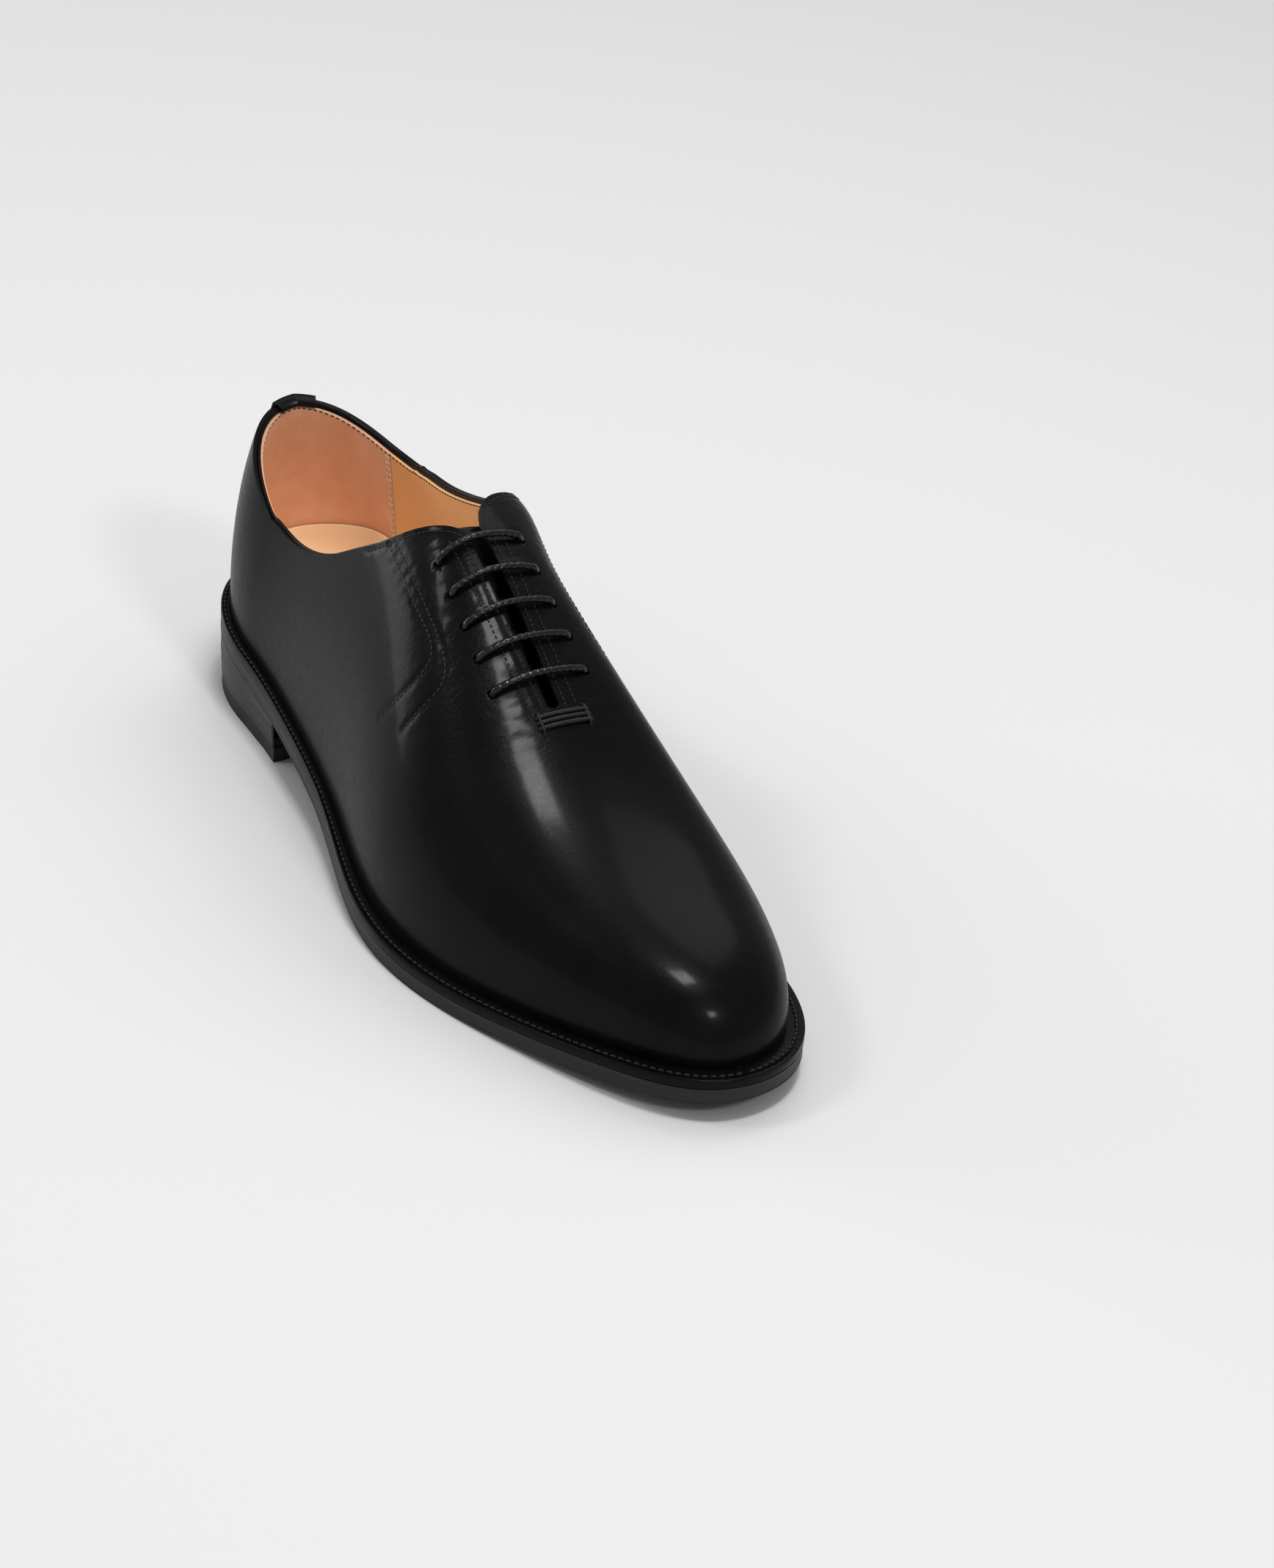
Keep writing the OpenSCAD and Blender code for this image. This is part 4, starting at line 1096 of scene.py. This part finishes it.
def welt(mat, thread):
    """Wheeled strip with a row of stitches round it."""
    def section(s):
        notch = 0.22 * np.clip(np.cos(s * 2 * math.pi / WELT_PITCH) * 2 - 1, 0, 1)
        return [(-2.0, 0, OUTSOLE_T + 0.05), (-2.0, 0, FEATHER),
                (0.2, 0.05, FEATHER), (0, 0.30, FEATHER - 0.3 * notch),
                (0, 0.42, FEATHER - 0.18 - notch), (0, 0.56, FEATHER - 0.28 - notch),
                (0, 0.70, FEATHER - 0.12 - notch), (0, 0.82, FEATHER - 0.4 * notch),
                (-0.35, 1, FEATHER - 0.04), (-0.1, 1, FEATHER - 0.18),
                (0, 1, FEATHER - 0.5), (0, 1, OUTSOLE_T + 0.45),
                (-0.1, 1, OUTSOLE_T + 0.15), (-0.3, 1, OUTSOLE_T + 0.05)]

    ring("welt_strip", section, 0.5, mat, "edge_black", "welt")
    for side, tag in SIDES:
        a = outline_stations(side, 0.5)[0]
        path = at_height(outline_points(a, side, 0, 0.56), FEATHER - 0.1)
        up = np.tile([0.0, 0.0, 1.0], (len(a), 1))
        stitch_run("welt_stitches_" + tag, path, up, WELT_PITCH, 1.95, 0.95, thread,
                   tall=0.75)


def slab(name, low, high, wall, mat, node, a=None, out=0.0, breast=False):
    """A closed layer under the foot: low and high give heights at plan points, wall is a list of
    (inset in mm, share of the height) from the top edge to the bottom edge. With breast its front
    end is hollowed and closed."""
    if a is None:
        a = np.concatenate([np.arange(-90, 0, 1.5), np.arange(0, 60, 0.4),
                            np.arange(60, 90.01, 0.5)])
    across = 25
    sides = {}
    for side in (1, -1):
        edge = outline_points(a, side, out, 1.0)
        outward = edge_normal(a, side)
        rows = []
        for inset, share in wall:
            plan = edge - outward * inset
            z = low(plan) + (high(plan) - low(plan)) * share
            rows.append(np.concatenate([plan, z[:, None]], -1))
        sides[side] = np.stack(rows, 1)

    def cross(start, end, height):
        f = np.linspace(0, 1, across + 2)[1:-1]
        plan = (start[:, None, :2] * (1 - f)[None, :, None]
                + end[:, None, :2] * f[None, :, None])
        if breast:
            radius = (BREAST_HALF_W**2 + BREAST_HOLLOW**2) / (2 * BREAST_HOLLOW)
            curve = (HEEL_LEN - BREAST_HOLLOW - CENTRE_Y + radius
                     - np.sqrt(radius**2 - (plan[..., 0] + 3) ** 2))
            plan[..., 1] = np.minimum(plan[..., 1], curve)
        z = height(plan.reshape(-1, 2)).reshape(plan.shape[:2])
        return np.concatenate([plan, z[..., None]], -1)

    lat, med = sides[1], sides[-1]
    under_side = cross(lat[:, -1], med[:, -1], low)
    upper_side = cross(med[:, 0], lat[:, 0], high)
    points = np.concatenate([lat, under_side, med[:, ::-1], upper_side], 1)
    n, m = points.shape[:2]
    faces = grid_faces(n, m, wrap=True)[:, ::-1].tolist()
    if breast:
        base, k = (n - 1) * m, len(wall)
        bottom = [base + k - 1 + i for i in range(across + 2)]
        top = [base] + [base + (2 * k + across + across - i) % m for i in range(across + 1)]
        faces += [[bottom[i], bottom[i + 1], top[i + 1], top[i]] for i in range(across + 1)]
        faces += [[base + i for i in range(k)][::-1],
                  [base + k + across + i for i in range(k)][::-1]]
    obj = add_mesh(name, points, faces, mat, merge=0.02)
    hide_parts(node)


def sock_liner(mat):
    """Flat on the insole, with its edge turned up against the linings; columns run from the medial
    edge over the middle line to the lateral edge."""
    a = np.concatenate([np.arange(-90, 60, 1.5), np.arange(60, 90.01, 1.0)])
    inset = -4.7
    lat, med = (outline_points(a, side, inset, 0) for side in (1, -1))
    middle_y = np.clip((lat[:, 1] + med[:, 1]) / 2, -122, 110)
    middle = np.stack([np.full(len(a), -0.5), middle_y], -1)
    share = np.linspace(0, 1, 23)[1:] ** 0.7
    columns = []
    for edge, cup, shares in ((med, CUP_MED, share[::-1]), (lat, CUP_LAT, np.append(0, share))):
        lift = ended(cup, (a + 90) / 20)
        for r in shares:
            plan = middle + (edge - middle) * r
            columns.append(at_height(plan, SOCK_Z + SOCK_T + lift * r**8))
    points = np.stack(columns, 1)
    obj = add_mesh("sock_liner_sheet", points, grid_faces(*points.shape[:2]).tolist(), mat,
                   merge=0.02)
    thicken(obj, SOCK_T, 0.3)
    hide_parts("sock_liner")


def level(z):
    return lambda plan: np.full(len(plan), float(z))


def above_tread(height):
    return lambda plan: tread(plan[:, 1] + CENTRE_Y) + height


def sole_wall():
    """Edge of the outsole: a slight waist, with rounded corners and fine trimming lines."""
    wall = [(0.35, 1.0), (0.1, 0.985), (0.0, 0.95)]
    for k in range(1, 12):
        share = 0.95 - k * 0.075
        wall.append((0.12 + 0.06 * (k % 2) + 0.14 * math.sin(math.pi * k / 12), share))
    return wall + [(0.05, 0.06), (0.25, 0.02), (0.7, 0.0)]


def heel(mat):
    """The stack: a wedge with two lines where its layers meet, and two lifts."""
    a = np.concatenate([np.arange(-90, 0, 1.5), np.linspace(0, 6.02, 14)])
    lift_wall = [(0.3, 1.0), (0.08, 0.96), (0.0, 0.88), (0.03, 0.5), (0.0, 0.12), (0.08, 0.04),
                 (0.3, 0.0)]
    wedge_wall = [(0.3, 1.0), (0.08, 0.985), (0.0, 0.95), (0.02, 0.66), (0.16, 0.645),
                  (0.02, 0.63), (0.02, 0.35), (0.16, 0.335), (0.02, 0.32), (0.0, 0.05),
                  (0.08, 0.015), (0.3, 0.0)]
    middle, base = TOP_PIECE_T + LIFT_T, TOP_PIECE_T + 2 * LIFT_T
    for name, low, high, wall, node, out in (
            ("heel_wedge_stack", level(base), above_tread(-0.02), wedge_wall, "heel_wedge", -0.3),
            ("heel_lift_2", level(middle), level(base), lift_wall, "heel_lift_upper", -0.5),
            ("heel_lift_1", level(TOP_PIECE_T), level(middle), lift_wall, "heel_lift_lower", -0.7)):
        slab(name, low, high, wall, mat, node, a, out, breast=True)


CARRIED = {
    "toe_puff": "stiffener", "heel_counter": "stiffener", "facing_stay_lateral": "stiffener",
    "facing_stay_medial": "stiffener", "tongue_lining": "lining_tan", "insole": "insole_leather",
    "insole_rib": "rib_canvas", "cork_filler": "cork", "steel_shank": "steel",
    "heel_nails": "brass", "heel_top_piece": "rubber_black",
}


def carried_nodes(finishes):
    """CAD nodes whose shape is right keep it, with a better finish."""
    nodes = {obj["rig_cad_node"]: obj for obj in bpy.data.objects if "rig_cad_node" in obj}
    for node, finish in CARRIED.items():
        nodes[node].data.materials.clear()
        nodes[node].data.materials.append(finishes[finish])


# ---- Build ----
camera()
finishes = {make.__name__: make() for make in (
    calf_black, edge_black, rubber_black, lining_tan, suede_pink, sock_leather, insole_leather,
    stiffener, thread_black, thread_tan, lace_black, aglet_black, rib_canvas, cork, steel, brass)}
tail("lateral", TAIL_LATERAL, finishes["lace_black"], finishes["aglet_black"])
tail("medial", TAIL_MEDIAL, finishes["lace_black"], finishes["aglet_black"])
lace(finishes["lace_black"])

calf, thread = finishes["calf_black"], finishes["thread_black"]
outer_seams = seam_lines()
wholecut_upper(calf, outer_seams)
outer_stitches(outer_seams, thread)
topline_binding(calf)
heel_tab(calf, thread)
bar_tack(thread)
for lining_side, lining_tag in SIDES:
    quarter_lining(lining_side, lining_tag, finishes["lining_tan"])
heel_grip(finishes["suede_pink"])
vamp_lining(finishes["lining_tan"])
tongue(calf, thread)
for seam_side, seam_tag in SIDES:
    grip_seam(seam_side, seam_tag, finishes["thread_tan"])
    lining_edge(seam_side, seam_tag, thread)

welt(calf, thread)
slab("outsole_plate", above_tread(0), above_tread(OUTSOLE_T - 0.02), sole_wall(),
     finishes["edge_black"], "outsole")
heel(finishes["edge_black"])
sock_liner(finishes["sock_leather"])
carried_nodes(finishes)
studio()
